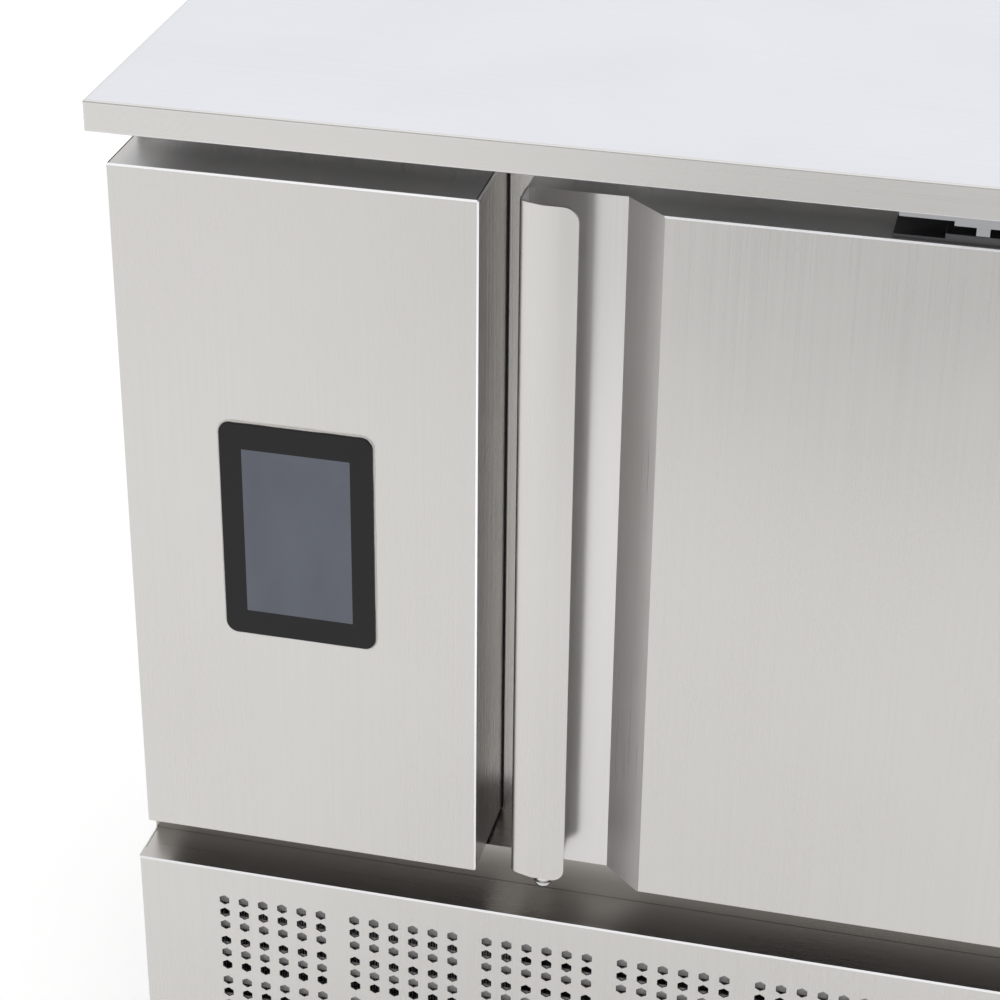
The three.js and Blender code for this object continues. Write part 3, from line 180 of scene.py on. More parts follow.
def brushed(name, colour=STEEL, grain="Z", roughness=0.28, contrast=0.025, metallic=1.0):
    """Brushed stainless steel with its grain along an axis."""
    look = Look(name, colour, Metallic=metallic, Anisotropic=0.3)
    axis = "XYZ".index(grain)
    look.spread_across([float(i == axis) for i in range(3)])

    def lines(across, along):
        return look.noise([along if i == axis else across for i in range(3)], detail=3)

    streaks = look.total(look.product(lines(1700, 6), 0.5), look.product(lines(330, 2), 0.5))
    cloud = look.noise((5, 5, 5), detail=3)
    lined = look.span(streaks, 1 - contrast, 1 + contrast)
    look.shade(look.product(lined, look.span(cloud, 0.98, 1.02)))
    drift = look.span(cloud, roughness - 0.02, roughness + 0.03)
    look.rough(look.total(look.span(streaks, -0.03, 0.04), drift))
    look.bump(streaks, 0.008)
    return look.material


def sheet_metal(name, colour, roughness):
    """Galvanised or matt sheet, with the faint flowers of its zinc."""
    look = Look(name, colour, Metallic=1.0)
    flowers = look.cells((90, 90, 90))
    look.shade(look.span(flowers, 0.93, 1.05, 0, 1))
    look.rough(look.span(flowers, roughness - 0.06, roughness + 0.08, 0, 1))
    look.bump(look.noise((300, 300, 300)), 0.03)
    return look.material


def finned(name, colour, axis, pitch):
    """The edges of thin fins side by side, bright at the edge, with painted shade in the gaps
    between.
    """
    look = Look(name, colour, Metallic=0.9, Roughness=0.4)
    edge = look.stripes(axis, pitch)
    dents = look.noise((30, 30, 30), detail=4)
    # the dark between the fins is painted shade
    look.shade(look.product(look.span(edge, 0.12, 1.0), look.span(dents, 0.85, 1.05)))
    look.bump(edge, 0.6)
    return look.material


def coated(name, colour, roughness, grain=900, relief=0.15, **values):
    """Paint, plastic, rubber or foam: a fine grain, and shade that wanders a little."""
    look = Look(name, colour, **values)
    pores = look.noise((grain, grain, grain))
    cloud = look.noise((14, 14, 14), detail=4)
    look.shade(look.product(look.span(pores, 0.95, 1.05), look.span(cloud, 0.94, 1.06)))
    look.rough(look.span(cloud, roughness - 0.04, roughness + 0.04))
    look.bump(pores, relief, 0.2 * MM)
    return look.material


GLASS_SHEEN = 0.3


def glassy(name, colour):
    """Flat glass over a dark layer, with the faint film that hands leave on it."""
    look = Look(name, colour, Specular_IOR_Level=GLASS_SHEEN)
    film = look.noise((25, 25, 12), detail=5)
    look.shade(look.span(film, 0.92, 1.08))
    look.rough(look.span(film, 0.05, 0.11))
    return look.material


def copper_tube(name, colour):
    """Bright copper with patches where it has dulled."""
    look = Look(name, colour, Metallic=1.0)
    patches = look.noise((40, 40, 40), detail=5)
    look.shade(look.span(patches, 0.8, 1.08))
    look.rough(look.span(patches, 0.42, 0.22))
    return look.material


FIN_PITCH = 2.5 * MM
ALUMINIUM = (0.72, 0.74, 0.76)
LOOKS = {
    "steel": brushed("steel_upright_grain"),
    "steel_long": brushed("steel_long_grain", (0.68, 0.665, 0.645), grain="X"),
    # painted reflection: the worktop's top is lighter and bluer than its sides, for the sky it
    # mirrors
    "steel_top_painted_reflection": brushed("steel_worktop_painted_reflection", (0.78, 0.795, 0.835), grain="X", roughness=0.4),
    "steel_edge": brushed("steel_ground_edge", (0.69, 0.675, 0.66), grain="X", roughness=0.25),
    "steel_side": brushed("steel_side_grain", grain="Y"),
    "steel_shaded": brushed("steel_shaded", (0.52, 0.50, 0.48), grain="X"),
    # painted shade: the sill's steel is darker than the rest, for the shade under the door
    "steel_sill_painted_shade": brushed("steel_sill_painted_shade", (0.44, 0.42, 0.40), grain="X"),
    "steel_hinge": brushed("steel_hinge", (0.46, 0.465, 0.48), grain="X", roughness=0.35),
    "steel_leaf": brushed("steel_leaf", (0.11, 0.11, 0.115), grain="X", roughness=0.4),
    # painted highlight: a near-white steel for the chamfers along the folds
    "steel_fold_painted_highlight": brushed("steel_fold_painted_highlight", (0.95, 0.95, 0.96), roughness=0.35, contrast=0.01),
    "steel_flange": brushed(
        "steel_flange", (0.6, 0.585, 0.57), grain="X", roughness=0.2, metallic=0.8),
    # painted light: a lighter, less metallic steel for the door's set-back faces
    "steel_recess_painted_light": brushed(
        "steel_recess_painted_light", (0.74, 0.725, 0.71), roughness=0.2, metallic=0.85),
    # painted light: a lighter, less metallic steel for the door's slanted faces
    "steel_slant_painted_light": brushed("steel_slant_painted_light", (0.7, 0.68, 0.665), roughness=0.3, metallic=0.7),
    "steel_polished": brushed("steel_polished", (0.72, 0.72, 0.72), roughness=0.09, contrast=0.01),
    "liner_steel": brushed("steel_liner", (0.62, 0.63, 0.63), roughness=0.32, contrast=0.02),
    "galvanised": sheet_metal("zinc_sheet", (0.55, 0.57, 0.58), 0.45),
    "foam": coated("insulating_foam", (0.78, 0.70, 0.45), 0.9, grain=500, relief=0.5),
    "core_board": coated("core_board", (0.06, 0.045, 0.035), 0.9, grain=700, relief=0.4),
    "black_glass": glassy("black_glass", (0.006, 0.006, 0.007)),
    "screen": glassy("unlit_screen", (0.122, 0.134, 0.165)),
    # painted shade: a dark coat for the faces underneath and the hole walls, where shade falls on
    # the steel
    "painted_shade_dark": coated("painted_shade_dark", (0.09, 0.085, 0.08), 0.5),
    "mill_finish": coated("mill_finish", (0.62, 0.61, 0.6), 0.5),
    "sealant": coated("clear_sealant", (0.62, 0.60, 0.57), 0.3, grain=300, relief=0.3),
    "black_plastic": coated("black_plastic", (0.022, 0.023, 0.025), 0.5),
    "gasket_rubber": coated("gasket_rubber", (0.028, 0.028, 0.03), 0.7, relief=0.3),
    "fin_aluminium": sheet_metal("fin_aluminium", ALUMINIUM, 0.4),
    "fins_deep": finned("fins_across_depth", ALUMINIUM, 1, FIN_PITCH),
    "fins_wide": finned("fins_across_width", ALUMINIUM, 0, FIN_PITCH),
    "copper": copper_tube("copper_tube", (0.72, 0.33, 0.17)),
    "black_enamel": coated("black_enamel", (0.016, 0.017, 0.019), 0.3, grain=250, relief=0.2),
    "circuit_board": coated("circuit_board", (0.03, 0.12, 0.05), 0.4),
    "grey_plastic": coated("grey_plastic", (0.26, 0.27, 0.28), 0.5),
    "white_plastic": coated("white_plastic", (0.7, 0.71, 0.72), 0.45),
}

# ---------------------------------------------------------------- studio
FLOOR_SIZE = 14.0
FLOOR_DROP = 0.0005
FLOOR_LIFT = 0.26       # what the floor adds to its lit shade where it is seen
# Patches of the floor that the metal sees darker in front and lighter at the right:
# their middle, their level, and the distances at which they start and end to fade.
DIM_PATCH = ((0.1, -2.6, 0), 0.5, (0.3, 0.85))
KEY_PATCH = ((1.1, -0.7, 0), 1.5, (0.25, 0.65))
WORLD_LEVEL = 0.8
FRONT_LEVEL = 0.5       # of the room in front, as the metal sees it
FRONT_FADE = (-0.3, 0.2)
ROOF_LEVEL = 1.15       # of the room overhead, as the metal sees it
ROOF_FADE = (0.6, 0.8)
LAMP_TARGET = Vector((0, 0, 0.7))
# Each lamp's name, place, size, radiance and colour.
LAMPS = [
    ("back_softbox", (-0.8, 3.4, 2.6), (3.6, 2.4), 1.05, (0.95, 0.97, 1.0)),
    ("left_softbox", (-3.0, -1.6, 2.8), (1.8, 1.8), 1.3, (1.0, 0.99, 0.97)),
]


def make_floor():
    """A pale floor that keeps shadows and is white where it is seen."""
    look = Look("pale_floor", (0.9, 0.9, 0.9), Roughness=0.9)
    path = look.add("ShaderNodeLightPath").outputs

    def patch(middle, at_middle, reach):
        inputs = {0: look.place, 1: middle}
        away = look.add("ShaderNodeVectorMath", inputs, operation="DISTANCE")
        return look.span(away.outputs["Value"], at_middle, 1, *reach)

    patches = look.product(patch(*DIM_PATCH), patch(*KEY_PATCH))
    level = look.span(path["Is Glossy Ray"], 1, patches, 0, 1)
    look.shade(look.product(look.span(look.noise((3, 3, 3)), 0.99, 1.01), level))
    seen = look.total(path["Is Camera Ray"], path["Is Transmission Ray"])
    lift = look.product(look.total(seen, path["Is Glossy Ray"]), look.product(level, FLOOR_LIFT))
    look.tree.links.new(lift, look.shader.inputs["Emission Strength"])
    look.shader.inputs["Emission Color"].default_value = (1, 1, 1, 1)
    half = FLOOR_SIZE / 2
    mesh = bpy.data.meshes.new("studio_floor")
    corners = [(-half, -half, 0), (half, -half, 0), (half, half, 0), (-half, half, 0)]
    mesh.from_pydata(corners, [], [(0, 1, 2, 3)])
    mesh.materials.append(look.material)
    floor = bpy.data.objects.new("studio_floor", mesh)
    floor.location.z = -FLOOR_DROP
    scene.collection.objects.link(floor)


def make_surround():
    """A white surround; the metal sees a dimmer room in front of the white floor."""
    scene.world = bpy.data.worlds.new("studio")
    scene.world.use_nodes = True
    graph = Graph(scene.world.node_tree)
    path = graph.add("ShaderNodeLightPath").outputs
    direction = graph.add("ShaderNodeTexCoord").outputs["Generated"]
    along = graph.add("ShaderNodeSeparateXYZ", {"Vector": direction}).outputs
    room = graph.span(along["Y"], FRONT_LEVEL, 1.0, *FRONT_FADE)
    mirrored = graph.span(along["Z"], room, ROOF_LEVEL, *ROOF_FADE)
    seen = graph.total(path["Is Camera Ray"], path["Is Transmission Ray"])
    plain = graph.span(seen, WORLD_LEVEL, 1.0, 0, 1)
    level = graph.span(path["Is Glossy Ray"], plain, mirrored, 0, 1)
    background = graph.tree.nodes["Background"]
    background.inputs["Color"].default_value = (1, 1, 1, 1)
    graph.tree.links.new(level, background.inputs["Strength"])


def make_lamps():
    for name, place, size, radiance, colour in LAMPS:
        data = bpy.data.lights.new(name, "AREA")
        data.shape = "RECTANGLE"
        data.size, data.size_y = size
        data.color = colour
        data.energy = radiance * math.pi * size[0] * size[1]
        lamp = bpy.data.objects.new(name, data)
        lamp.location = place
        lamp.rotation_euler = (LAMP_TARGET - Vector(place)).to_track_quat("-Z", "Y").to_euler()
        lamp.visible_camera = False
        lamp.visible_glossy = False
        scene.collection.objects.link(lamp)


# ---------------------------------------------------------------- pieces
SMOOTH_ANGLE = math.radians(35)
FLAT_ANGLE = math.radians(0.5)
CREASE_ANGLE = math.radians(40)
WELD = 1e-6
CREASE = 0.9
BEVEL_SEGMENTS = 3
SOFT_EDGE = 0.5 * MM
EDGE_ROOM = 3           # least width of a face at a rounded edge, in bevels
EDGE_ZONE = 2 * MM
HOLE_WALL_AREA = 30 * MM * MM
CORNER_REACH = 0.1 * MM
# How far a face's normal points along y: ahead, slanted, or across.
AHEAD, ASLANT, ACROSS = 0.9, 0.3, 0.1
BOX_FACES = ((0, 1, 3, 2), (4, 5, 7, 6), (0, 1, 5, 4), (2, 3, 7, 6), (0, 2, 6, 4), (1, 3, 7, 5))


def finish_piece(name, bm, looks, body="cabinet", replaced=(), bevel=None, weighted=False):
    """Turns a bmesh into a piece that rides on a body, with its edges rounded by a bevel."""
    bmesh.ops.recalc_face_normals(bm, faces=bm.faces)
    mesh = bpy.data.meshes.new(name)
    bm.to_mesh(mesh)
    bm.free()
    for look in [looks] if isinstance(looks, str) else looks:
        mesh.materials.append(LOOKS[look])
    mesh.shade_smooth()
    mesh.set_sharp_from_angle(angle=SMOOTH_ANGLE)
    piece = bpy.data.objects.new(name, mesh)
    scene.collection.objects.link(piece)
    if bevel:
        rounding = piece.modifiers.new("rounding", "BEVEL")
        rounding.width = bevel
        rounding.segments = BEVEL_SEGMENTS
        rounding.limit_method = "WEIGHT" if weighted else "ANGLE"
        rounding.angle_limit = SMOOTH_ANGLE
        rounding.harden_normals = True
    if replaced:
        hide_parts(*replaced)
    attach(piece, body)
    return piece


def body_of(node):
    return next(body for body, members in BODIES.items() if node in members)


def welded(node):
    """A bmesh of a CAD node with its split vertices joined and its flat faces merged."""
    bm = bmesh.new()
    bm.from_mesh(nodes[node].data)
    bmesh.ops.remove_doubles(bm, verts=bm.verts, dist=WELD)
    bmesh.ops.dissolve_limit(bm, angle_limit=FLAT_ANGLE, verts=bm.verts, edges=bm.edges)
    return bm


def at_bottom(face, low, high):
    return max(vert.co.z for vert in face.verts) < low.z + EDGE_ZONE


def at_top(face, low, high):
    return min(vert.co.z for vert in face.verts) > high.z - EDGE_ZONE


def set_back(face, low, high):
    """Faces that look forward from behind the foremost one."""
    return face.normal.y < -AHEAD and min(vert.co.y for vert in face.verts) > low.y + EDGE_ZONE


def slanted(face, low, high):
    return -AHEAD < face.normal.y < -ASLANT


def hole_wall(face, low, high):
    return abs(face.normal.y) < ACROSS and face.calc_area() < HOLE_WALL_AREA


def at_corner(edge, low, high):
    """Whether an edge runs where two outer sides of the node meet, its back left out."""
    reached = 0
    for axis, limit in ((0, low.x), (0, high.x), (1, low.y), (2, low.z), (2, high.z)):
        reached += all(abs(vert.co[axis] - limit) < CORNER_REACH for vert in edge.verts)
    return reached > 1


def softened(node, look=None, shortest=0.0, bevel=SOFT_EDGE, parts=(), fold=None):
    """The CAD node again with rounded edges, where both faces at an edge have room.

    The parts give other looks to the faces that pass a test. A fold is a look for plain
    chamfers, which then run along the outer corners alone.
    """
    bm = welded(node)
    low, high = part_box(node)
    for face in bm.faces:
        for i, (_, test) in enumerate(parts, 1):
            if test(face, low, high):
                face.material_index = i
    weights = bm.edges.layers.float.new("bevel_weight_edge")
    for edge in bm.edges:
        length = edge.calc_length()
        sharp = len(edge.link_faces) == 2 and edge.calc_face_angle(0) >= SMOOTH_ANGLE
        if not sharp or length < shortest:
            continue
        least = min(face.calc_area() for face in edge.link_faces)
        roomy = least > EDGE_ROOM * bevel * length
        if roomy and (not fold or at_corner(edge, low, high)):
            edge[weights] = 1.0
    slot = SLOTS[node]
    looks = [look or slot] + [other for other, _ in parts] + [fold] * bool(fold)
    name = f"{node}_formed"
    piece = finish_piece(name, bm, looks, body_of(node), [node], bevel, weighted=True)
    # the fold look on the chamfers is a painted highlight
    if fold:
        rounding = piece.modifiers["rounding"]
        rounding.material = len(looks) - 1
        rounding.segments = 1
        rounding.harden_normals = False
        rounding.use_clamp_overlap = False
        rounding.loop_slide = False
        piece.data.shade_flat()


def rounded(node, levels=2):
    """The CAD node again as a subdivision surface, with its sharp edges kept."""
    bm = welded(node)
    creases = bm.edges.layers.float.new("crease_edge")
    for edge in bm.edges:
        if len(edge.link_faces) == 2 and edge.calc_face_angle(0) > CREASE_ANGLE:
            edge[creases] = CREASE
    slot = SLOTS[node]
    piece = finish_piece(f"{node}_formed", bm, slot, body_of(node), [node])
    smoothing = piece.modifiers.new("smoothing", "SUBSURF")
    smoothing.levels = smoothing.render_levels = levels


def box_into(bm, x, y, z):
    corners = [bm.verts.new((u, v, w)) for w in z for v in y for u in x]
    for face in BOX_FACES:
        bm.faces.new([corners[i] for i in face])


def rounded_rectangle(x, z, radius, steps=8):
    """Points round a rectangle with quarter circles at its corners, counter-clockwise."""
    centres = [(x[1] - radius, z[0] + radius, -90), (x[1] - radius, z[1] - radius, 0),
               (x[0] + radius, z[1] - radius, 90), (x[0] + radius, z[0] + radius, 180)]
    points = []
    for u, w, start in centres:
        for i in range(steps + 1):
            angle = math.radians(start + 90 * i / steps)
            points.append((u + radius * math.cos(angle), w + radius * math.sin(angle)))
    return points


def skin_rings(bm, rings, closed=False):
    """Faces between rings of vertices; a ring of one vertex is a pole."""
    pairs = list(zip(rings, rings[1:]))
    if closed:
        pairs.append((rings[-1], rings[0]))
    for lower, upper in pairs:
        sides = max(len(lower), len(upper))
        for j in range(sides):
            k = (j + 1) % sides
            corners = [lower[j % len(lower)], lower[k % len(lower)],
                       upper[k % len(upper)], upper[j % len(upper)]]
            bm.faces.new(dict.fromkeys(corners))


def prism_into(bm, outlines):
    """A closed solid between two outlines with as many corners."""
    rings = [[bm.verts.new(corner) for corner in outline] for outline in outlines]
    skin_rings(bm, rings)
    for ring in rings:
        bm.faces.new(ring)


def plate_into(bm, points, y):
    """A flat plate of a given outline in x and z, between two depths."""
    prism_into(bm, [[(u, depth, w) for u, w in points] for depth in y])


def circle_of(bm, centre, across, third, radius, sides):
    """A ring of vertices round a centre, in the plane of two directions."""
    ring = []
    for j in range(sides):
        turn = math.tau * j / sides
        arm = math.cos(turn) * across + math.sin(turn) * third
        ring.append(bm.verts.new(centre + radius * arm))
    return ring


def tube_into(bm, points, radii, sides=12, closed=False):
    """A round tube along points, with a radius for each."""
    rings = []
    across = None
    last = len(points) - 1
    for i, point in enumerate(points):
        before = points[i - 1] if i or closed else point
        after = points[(i + 1) % len(points)] if i < last or closed else point
        along = (after - before).normalized()
        across = along.orthogonal() if across is None else across - along * across.dot(along)
        across.normalize()
        rings.append(circle_of(bm, point, across, along.cross(across), radii[i], sides))
    skin_rings(bm, rings, closed)
    if not closed:
        bm.faces.new(rings[0])
        bm.faces.new(rings[-1])


def scaled(profile):
    """A profile in metres from one in millimetres."""
    return [(first * MM, second * MM) for first, second in profile]


def turned_into(bm, base, axis, profile, sides=48):
    """A body of revolution about an axis; the profile gives pairs of radius and height."""
    along = Vector(axis).normalized()
    across = along.orthogonal().normalized()
    third = along.cross(across)
    rings = []
    for radius, height in profile:
        centre = Vector(base) + along * height
        if radius:
            rings.append(circle_of(bm, centre, across, third, radius, sides))
        else:
            rings.append([bm.verts.new(centre)])
    skin_rings(bm, rings)


def loop_into(bm, x, z, profile):
    """A mitred frame in x and z; the profile gives pairs of inset and depth."""
    rings = []
    for inset, y in profile:
        u, w = (x[0] + inset, x[1] - inset), (z[0] + inset, z[1] - inset)
        corners = [(u[0], w[0]), (u[1], w[0]), (u[1], w[1]), (u[0], w[1])]
        rings.append([bm.verts.new((a, y, b)) for a, b in corners])
    skin_rings(bm, rings, closed=True)


# ---------------------------------------------------------------- worktop
BORDER = 3.5 * MM
WORKTOP_FOLD = 1.6 * MM
HEM = 18 * MM
HEM_SHEET = 1.4 * MM


def make_worktop():
    """The worktop's shell, with ground borders along its folds, its hem below, and a painted
    reflection on its top.
    """
    low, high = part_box("worktop")
    bm = bmesh.new()
    box_into(bm, (low.x, high.x), (low.y, high.y), (low.z, high.z))
    bmesh.ops.recalc_face_normals(bm, faces=bm.faces)
    for face in list(bm.faces):
        if face.normal.z < -0.5:
            bmesh.ops.inset_individual(bm, faces=[face], thickness=HEM)
            bmesh.ops.translate(bm, verts=face.verts, vec=(0, 0, HEM_SHEET))
            continue
        face.material_index = 0 if face.normal.z > 0.5 else 2
        border = bmesh.ops.inset_individual(bm, faces=[face], thickness=BORDER)
        for strip in border["faces"]:
            strip.material_index = 1
    # the top faces take a painted reflection
    looks = ["steel_top_painted_reflection", "steel_edge", "steel_long"]
    finish_piece("worktop_shell", bm, looks, replaced=["worktop"], bevel=WORKTOP_FOLD)


# ---------------------------------------------------------------- touch screen
SCREEN_WIDTH, SCREEN_HEIGHT = 91.4 * MM, 152.4 * MM
SCREEN_PROUD = 0.08 * MM
SCREEN_CORNER = 0.6 * MM
GLASS_CORNER = 10 * MM
GLASS_EDGE = 0.7 * MM
SEALANT = {
    "radius": 1.0 * MM, "wander": 0.35 * MM, "gap": 0.6 * MM, "step": 6 * MM, "waves": (7, 17, 31)}


def make_touch_screen():
    """A glass pane with its display window, and the bead of sealant round it."""
    low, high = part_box("touch_glass")
    bm = bmesh.new()
    outline = rounded_rectangle((low.x, high.x), (low.z, high.z), GLASS_CORNER, 12)
    plate_into(bm, outline, (low.y, high.y))
    glass = "black_glass"
    finish_piece("glass_pane", bm, glass, replaced=["touch_glass"], bevel=GLASS_EDGE)

    middle = (low + high) / 2
    half_x, half_z = SCREEN_WIDTH / 2, SCREEN_HEIGHT / 2
    x, z = (middle.x - half_x, middle.x + half_x), (middle.z - half_z, middle.z + half_z)
    bm = bmesh.new()
    window = rounded_rectangle(x, z, SCREEN_CORNER, 3)
    plate_into(bm, window, (low.y - SCREEN_PROUD, low.y + SCREEN_PROUD))
    finish_piece("screen_window", bm, "screen")

    gap = SEALANT["gap"]
    ring = rounded_rectangle(
        (low.x - gap, high.x + gap), (low.z - gap, high.z + gap), GLASS_CORNER + gap, 16)
    points, radii = [], []
    for i, (u, w) in enumerate(ring):
        u_next, w_next = ring[(i + 1) % len(ring)]
        steps = max(1, round(math.hypot(u_next - u, w_next - w) / SEALANT["step"]))
        for j in range(steps):
            t = j / steps
            points.append(Vector((u + (u_next - u) * t, high.y, w + (w_next - w) * t)))
    for i in range(len(points)):
        turn = math.tau * i / len(points)
        wobble = sum(math.sin(waves * turn + waves) for waves in SEALANT["waves"])
        radii.append(SEALANT["radius"] + SEALANT["wander"] * wobble / len(SEALANT["waves"]))
    bm = bmesh.new()
    tube_into(bm, points, radii, closed=True)
    finish_piece("glass_sealant", bm, "sealant")


# ---------------------------------------------------------------- door
# Profiles are in millimetres: across and back for the handle, inset and depth for the gasket,
# radius and height for what is turned.
HANDLE_SHEET = 2 * MM
HANDLE_CORNER = 12 * MM
HANDLE_BEND = [(0, 11), (0.4, 8.6), (1.8, 6.4), (4.2, 4.7), (8, 3.1), (19.5, 0)]
CORNER_STEPS = 8
HANDLE_TAB = 39 * MM
HANDLE_EDGE, SCREW_EDGE, GASKET_EDGE = 0.3 * MM, 0.2 * MM, 0.4 * MM
GASKET_PROFILE = [
    (0, 0), (0, 4), (2.5, 5), (2.5, 6.5), (1, 7.5), (1, 10), (2, 11), (12, 11), (13, 10),
    (13, 7.5), (11.5, 6.5), (11.5, 5), (14, 4), (14, 0)]
SCREW_DOME = [
    (0, 9.4), (2.4, 9.4), (2.6, 11.3), (4.4, 11), (6.4, 9.8), (7.8, 7.8), (8.4, 5.8),
    (8.4, 4.8), (6.6, 4.4), (6.6, 0), (0, 0)]


def make_handle():
    """A sheet bent back from its face in a flat strip, with its free corners rounded off."""
    low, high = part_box("door_handle")
    outer = [(low.x, high.y)] + [(low.x + u * MM, low.y + v * MM) for u, v in HANDLE_BEND]
    inner = [(max(u, low.x + HANDLE_SHEET), v + HANDLE_SHEET) for u, v in outer[1:]]
    inner.insert(0, (low.x + HANDLE_SHEET, high.y))
    columns = [(front, back, 0.0) for front, back in zip(outer, inner)]
    for i in range(CORNER_STEPS + 1):
        turn = math.pi / 2 * i / CORNER_STEPS
        u = high.x - HANDLE_CORNER * (1 - math.sin(turn))
        cut = HANDLE_CORNER * (1 - math.cos(turn))
        columns.append(((u, low.y), (u, low.y + HANDLE_SHEET), cut))
    bm = bmesh.new()
    rings = []
    for front, back, cut in columns:
        foot, head = low.z + cut, high.z - cut
        corners = [(*front, foot), (*front, head), (*back, head), (*back, foot)]
        rings.append([bm.verts.new(corner) for corner in corners])
    skin_rings(bm, rings)
    for i, face in enumerate(bm.faces):
        face.material_index = int(i % 4 == 2)  # the inner one of each four
    bm.faces.new(rings[0])
    bm.faces.new(rings[-1])
    edge = low.x + HANDLE_TAB
    tab = inner + [(edge, low.y + HANDLE_SHEET), (edge, high.y)]
    prism_into(bm, [[(*point, w) for point in tab] for w in (low.z, low.z + HANDLE_SHEET)])
    looks = ["steel", "mill_finish"]
    finish_piece("bent_handle", bm, looks, "door", ["door_handle"], HANDLE_EDGE)


def make_handle_screw():
    """The domed cap under the handle's end."""
    low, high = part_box("handle_end_screw")
    middle = (low + high) / 2
    bm = bmesh.new()
    turned_into(bm, (middle.x, middle.y, high.z), (0, 0, -1), scaled(SCREW_DOME))
    look, replaced = "steel_polished", ["handle_end_screw"]
    finish_piece("handle_screw_dome", bm, look, "door", replaced, SCREW_EDGE)


def make_gasket():
    """A magnetic seal with a waist between its foot and its lip."""
    low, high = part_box("door_gasket")
    bm = bmesh.new()
    profile = [(inset, low.y + depth) for inset, depth in scaled(GASKET_PROFILE)]
    loop_into(bm, (low.x, high.x), (low.z, high.z), profile)
    rubber = "gasket_rubber"
    finish_piece("seal_strip", bm, rubber, "door", ["door_gasket"], GASKET_EDGE)


# ---------------------------------------------------------------- upper hinge
BRACKET_FRONT, BRACKET_BACK, FRAME_FACE = -405 * MM, -355.5 * MM, -304.5 * MM
BRACKET_START, BRACKET_STEP = 198 * MM, 238 * MM
BRACKET_THIN, BRACKET_THICK, BRACKET_SHEET = 3.6 * MM, 7.2 * MM, 3 * MM
BRACKET_EDGE = 0.3 * MM
RISER_FOOT = 970.5 * MM
STOP_TAB = ((253.5 * MM, 263.5 * MM), (-392 * MM, -384 * MM), 969.8 * MM)
HINGE_PIN = ((394.5 * MM, -376.5 * MM), 6 * MM, 962.9 * MM)
PIN_SIDES = 24


def make_upper_bracket():
    """A stepped plate under the worktop, with a stop tab and the pin below it."""
    low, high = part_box("upper_hinge_bracket")
    top, underside = high.z, high.z - BRACKET_THICK
    thin, thick = (BRACKET_START, BRACKET_STEP), (BRACKET_STEP, high.x)
    riser = (FRAME_FACE - BRACKET_SHEET, FRAME_FACE)
    bm = bmesh.new()
    box_into(bm, thin, (BRACKET_FRONT, FRAME_FACE), (top - BRACKET_THIN, top))
    box_into(bm, thick, (BRACKET_FRONT, BRACKET_BACK), (underside, top))
    box_into(bm, thick, (BRACKET_BACK, FRAME_FACE), (top - BRACKET_SHEET, top))
    box_into(bm, (BRACKET_START, high.x), riser, (RISER_FOOT, top))
    box_into(bm, STOP_TAB[0], STOP_TAB[1], (STOP_TAB[2], underside))
    (x, y), radius, foot = HINGE_PIN
    reach = underside - foot
    outline = [(0, 0), (radius, 0), (radius, reach), (0, reach)]
    turned_into(bm, (x, y, foot), (0, 0, 1), outline, PIN_SIDES)
    look, replaced = "steel_hinge", ["upper_hinge_bracket"]
    finish_piece("stepped_bracket", bm, look, "cabinet", replaced, BRACKET_EDGE)


# ---------------------------------------------------------------- box seam
SEAM_WIDTH = 1.2 * MM
SEAM_PROUD = 0.3 * MM


def make_seam():
    """The dark joint between the control box and the door frame."""
    low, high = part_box("control_box_cover")
    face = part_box("door_frame")[0].y
    bm = bmesh.new()
    box_into(bm, (high.x, high.x + SEAM_WIDTH), (face - SEAM_PROUD, face), (low.z, high.z))
    finish_piece("box_seam", bm, "gasket_rubber")


# ---------------------------------------------------------------- fans
GUARD_RINGS = 5
GUARD_SPOKES = 8
GUARD_STEPS = 64
GUARD_WIRE = 1.3 * MM
GUARD_WIRE_SIDES = 8
GUARD_EYE = 26 * MM


def make_guard(node):
    """A wire guard: rings in front, spokes behind them."""
    low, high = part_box(node)
    middle = (low + high) / 2
    outer = (high.z - low.z) / 2 - GUARD_WIRE
    bm = bmesh.new()

    def at(radius, turn, x):
        return Vector((x, middle.y + radius * math.cos(turn), middle.z + radius * math.sin(turn)))

    front, behind = high.x - GUARD_WIRE, low.x + GUARD_WIRE
    for i in range(GUARD_RINGS):
        radius = GUARD_EYE + (outer - GUARD_EYE) * i / (GUARD_RINGS - 1)
        points = [at(radius, math.tau * j / GUARD_STEPS, front) for j in range(GUARD_STEPS)]
        tube_into(bm, points, [GUARD_WIRE] * GUARD_STEPS, GUARD_WIRE_SIDES, closed=True)
    for i in range(GUARD_SPOKES):
        turn = math.tau * i / GUARD_SPOKES
        ends = [at(GUARD_EYE - GUARD_WIRE, turn, behind), at(outer, turn, behind)]
        tube_into(bm, ends, [GUARD_WIRE] * len(ends), GUARD_WIRE_SIDES)
    finish_piece(f"{node}_wires", bm, "steel_polished", "cabinet", [node])


# ---------------------------------------------------------------- feet and fasteners
FOOT_PROFILE = [
    (0, 0), (23.5, 0), (25, 1.5), (25, 5), (23.5, 6.5), (15.5, 11), (14, 12.5), (14, 35),
    (16, 36), (19, 36), (20, 37), (20, 97), (19.4, 100), (0, 100)]
PAN_HEAD = [(0, 2.2), (1.6, 2.1), (3.0, 1.6), (3.8, 0.8), (4.0, 0), (0, 0)]
PAN_HEAD_SIDES = 16
SCREW_INSET = 14 * MM


def make_foot(node):
    low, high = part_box(node)
    middle = (low + high) / 2
    bm = bmesh.new()
    turned_into(bm, (middle.x, middle.y, 0), (0, 0, 1), scaled(FOOT_PROFILE))
    finish_piece(f"{node}_turned", bm, "steel_side", "cabinet", [node])


def make_screws(name, places, axis):
    bm = bmesh.new()
    for place in places:
        turned_into(bm, place, axis, scaled(PAN_HEAD), PAN_HEAD_SIDES)
    finish_piece(name, bm, "steel_polished")


def spread(low, high, count):
    return [low + (high - low) * i / (count - 1) for i in range(count)]


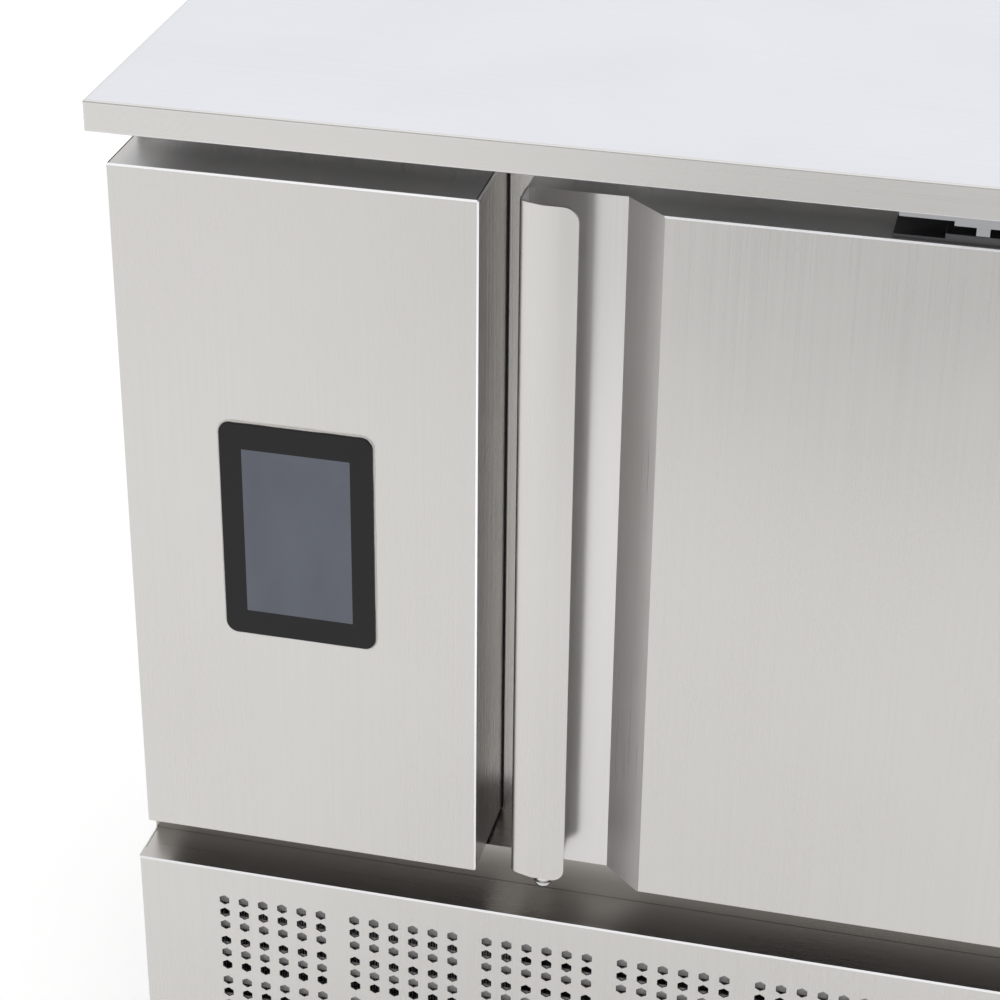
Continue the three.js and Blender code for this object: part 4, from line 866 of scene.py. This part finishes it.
def make_fasteners():
    """The screws along the edges of the rear panel and of the bay's two sides."""
    low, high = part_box("rear_vent_panel")
    heights = (low.z + SCREW_INSET, high.z - SCREW_INSET)
    across = spread(low.x + SCREW_INSET, high.x - SCREW_INSET, 5)
    places = [(x, high.y, z) for x in across for z in heights]
    make_screws("rear_panel_screws", places, (0, 1, 0))
    for side, outward in (("left", -1), ("right", 1)):
        low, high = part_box(f"bay_side_{side}")
        face = high.x if outward > 0 else low.x
        depths = spread(low.y + SCREW_INSET, high.y - SCREW_INSET, 4)
        heights = (low.z + SCREW_INSET, high.z - SCREW_INSET)
        places = [(face, y, z) for y in depths for z in heights]
        make_screws(f"bay_{side}_screws", places, (outward, 0, 0))


# ---------------------------------------------------------------- behind the grille
BACKING = {
    "first": 33.5 * MM, "row": 13.8 * MM, "band": 45.3 * MM, "height": 14 * MM, "behind": 6 * MM,
    "flange": 4 * MM, "sheet": 1 * MM, "edge": 0.2 * MM}
BACKED_ROWS = ((0, 0), (0, 2), (1, 1), (2, 0), (2, 2))


def make_backing():
    """Strips behind every other row of the grille's holes."""
    low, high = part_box("front_grille")
    half = BACKING["height"] / 2
    x = (low.x + BACKING["flange"], high.x - BACKING["flange"])
    face = low.y + BACKING["behind"]
    bm = bmesh.new()
    for band, row in BACKED_ROWS:
        z = high.z - BACKING["first"] - band * BACKING["band"] - row * BACKING["row"]
        box_into(bm, x, (face, face + BACKING["sheet"]), (z - half, z + half))
    finish_piece("grille_backing", bm, "mill_finish", bevel=BACKING["edge"])


# ---------------------------------------------------------------- the whole
FOLD = 1.4 * MM
FOLD_SHORTEST = 20 * MM
SHEET_SHORTEST = 8 * MM
# underneath, the dark look is painted shade
HANGING = [("painted_shade_dark", at_bottom), ("steel_flange", at_top)]
FOLDED = {
    # the dark look on the hole walls is painted shade
    "front_grille": [("steel_shaded", at_top), ("painted_shade_dark", hole_wall)],
    "control_box_cover": HANGING,
    # on the door skin, the set-back and slanted looks are painted light
    "door_skin": HANGING + [("steel_recess_painted_light", set_back), ("steel_slant_painted_light", slanted)],
}
HINGES = {
    "upper_hinge_leaf": "steel_leaf",
    "lower_hinge_bracket": "steel_hinge",
    "lower_hinge_leaf": "steel_leaf",
}
SHEETS = (
    "front_sill", "bay_side_left", "bay_side_right", "door_liner",
    "tray_rack_left", "tray_rack_right", "base_tray", "power_box")
ROUND = (
    "compressor", "liquid_receiver", "filter_drier", "suction_line", "liquid_line",
    "discharge_line", "condensate_line", "drain_pipe", "evaporator_motor_lower",
    "evaporator_motor_upper", "condenser_motor", "air_sensor")
FEET = ("foot_front_left", "foot_front_right", "foot_back_left", "foot_back_right")
SPECIAL_LOOKS = {
    "evaporator_coil": "fins_deep",
    "condenser_coil": "fins_wide",
    # the sill takes a painted shade
    "front_sill": "steel_sill_painted_shade",
}

make_camera()
make_floor()
make_surround()
make_lamps()
make_worktop()
make_touch_screen()
for folded_node, other_looks in FOLDED.items():
    # the folds take a painted highlight
    softened(folded_node, None, FOLD_SHORTEST, FOLD, other_looks, "steel_fold_painted_highlight")
make_handle()
make_handle_screw()
make_upper_bracket()
make_seam()
make_gasket()
for hinge_node, hinge_look in HINGES.items():
    softened(hinge_node, hinge_look)
for sheet_node in SHEETS:
    softened(sheet_node, SPECIAL_LOOKS.get(sheet_node), SHEET_SHORTEST)
for round_node in ROUND:
    rounded(round_node)
for guard_node in ("fan_guard_lower", "fan_guard_upper"):
    make_guard(guard_node)
for foot_node in FEET:
    make_foot(foot_node)
make_fasteners()
make_backing()
for node, thing in nodes.items():
    thing.data.materials.clear()
    thing.data.materials.append(LOOKS[SPECIAL_LOOKS.get(node, SLOTS[node])])
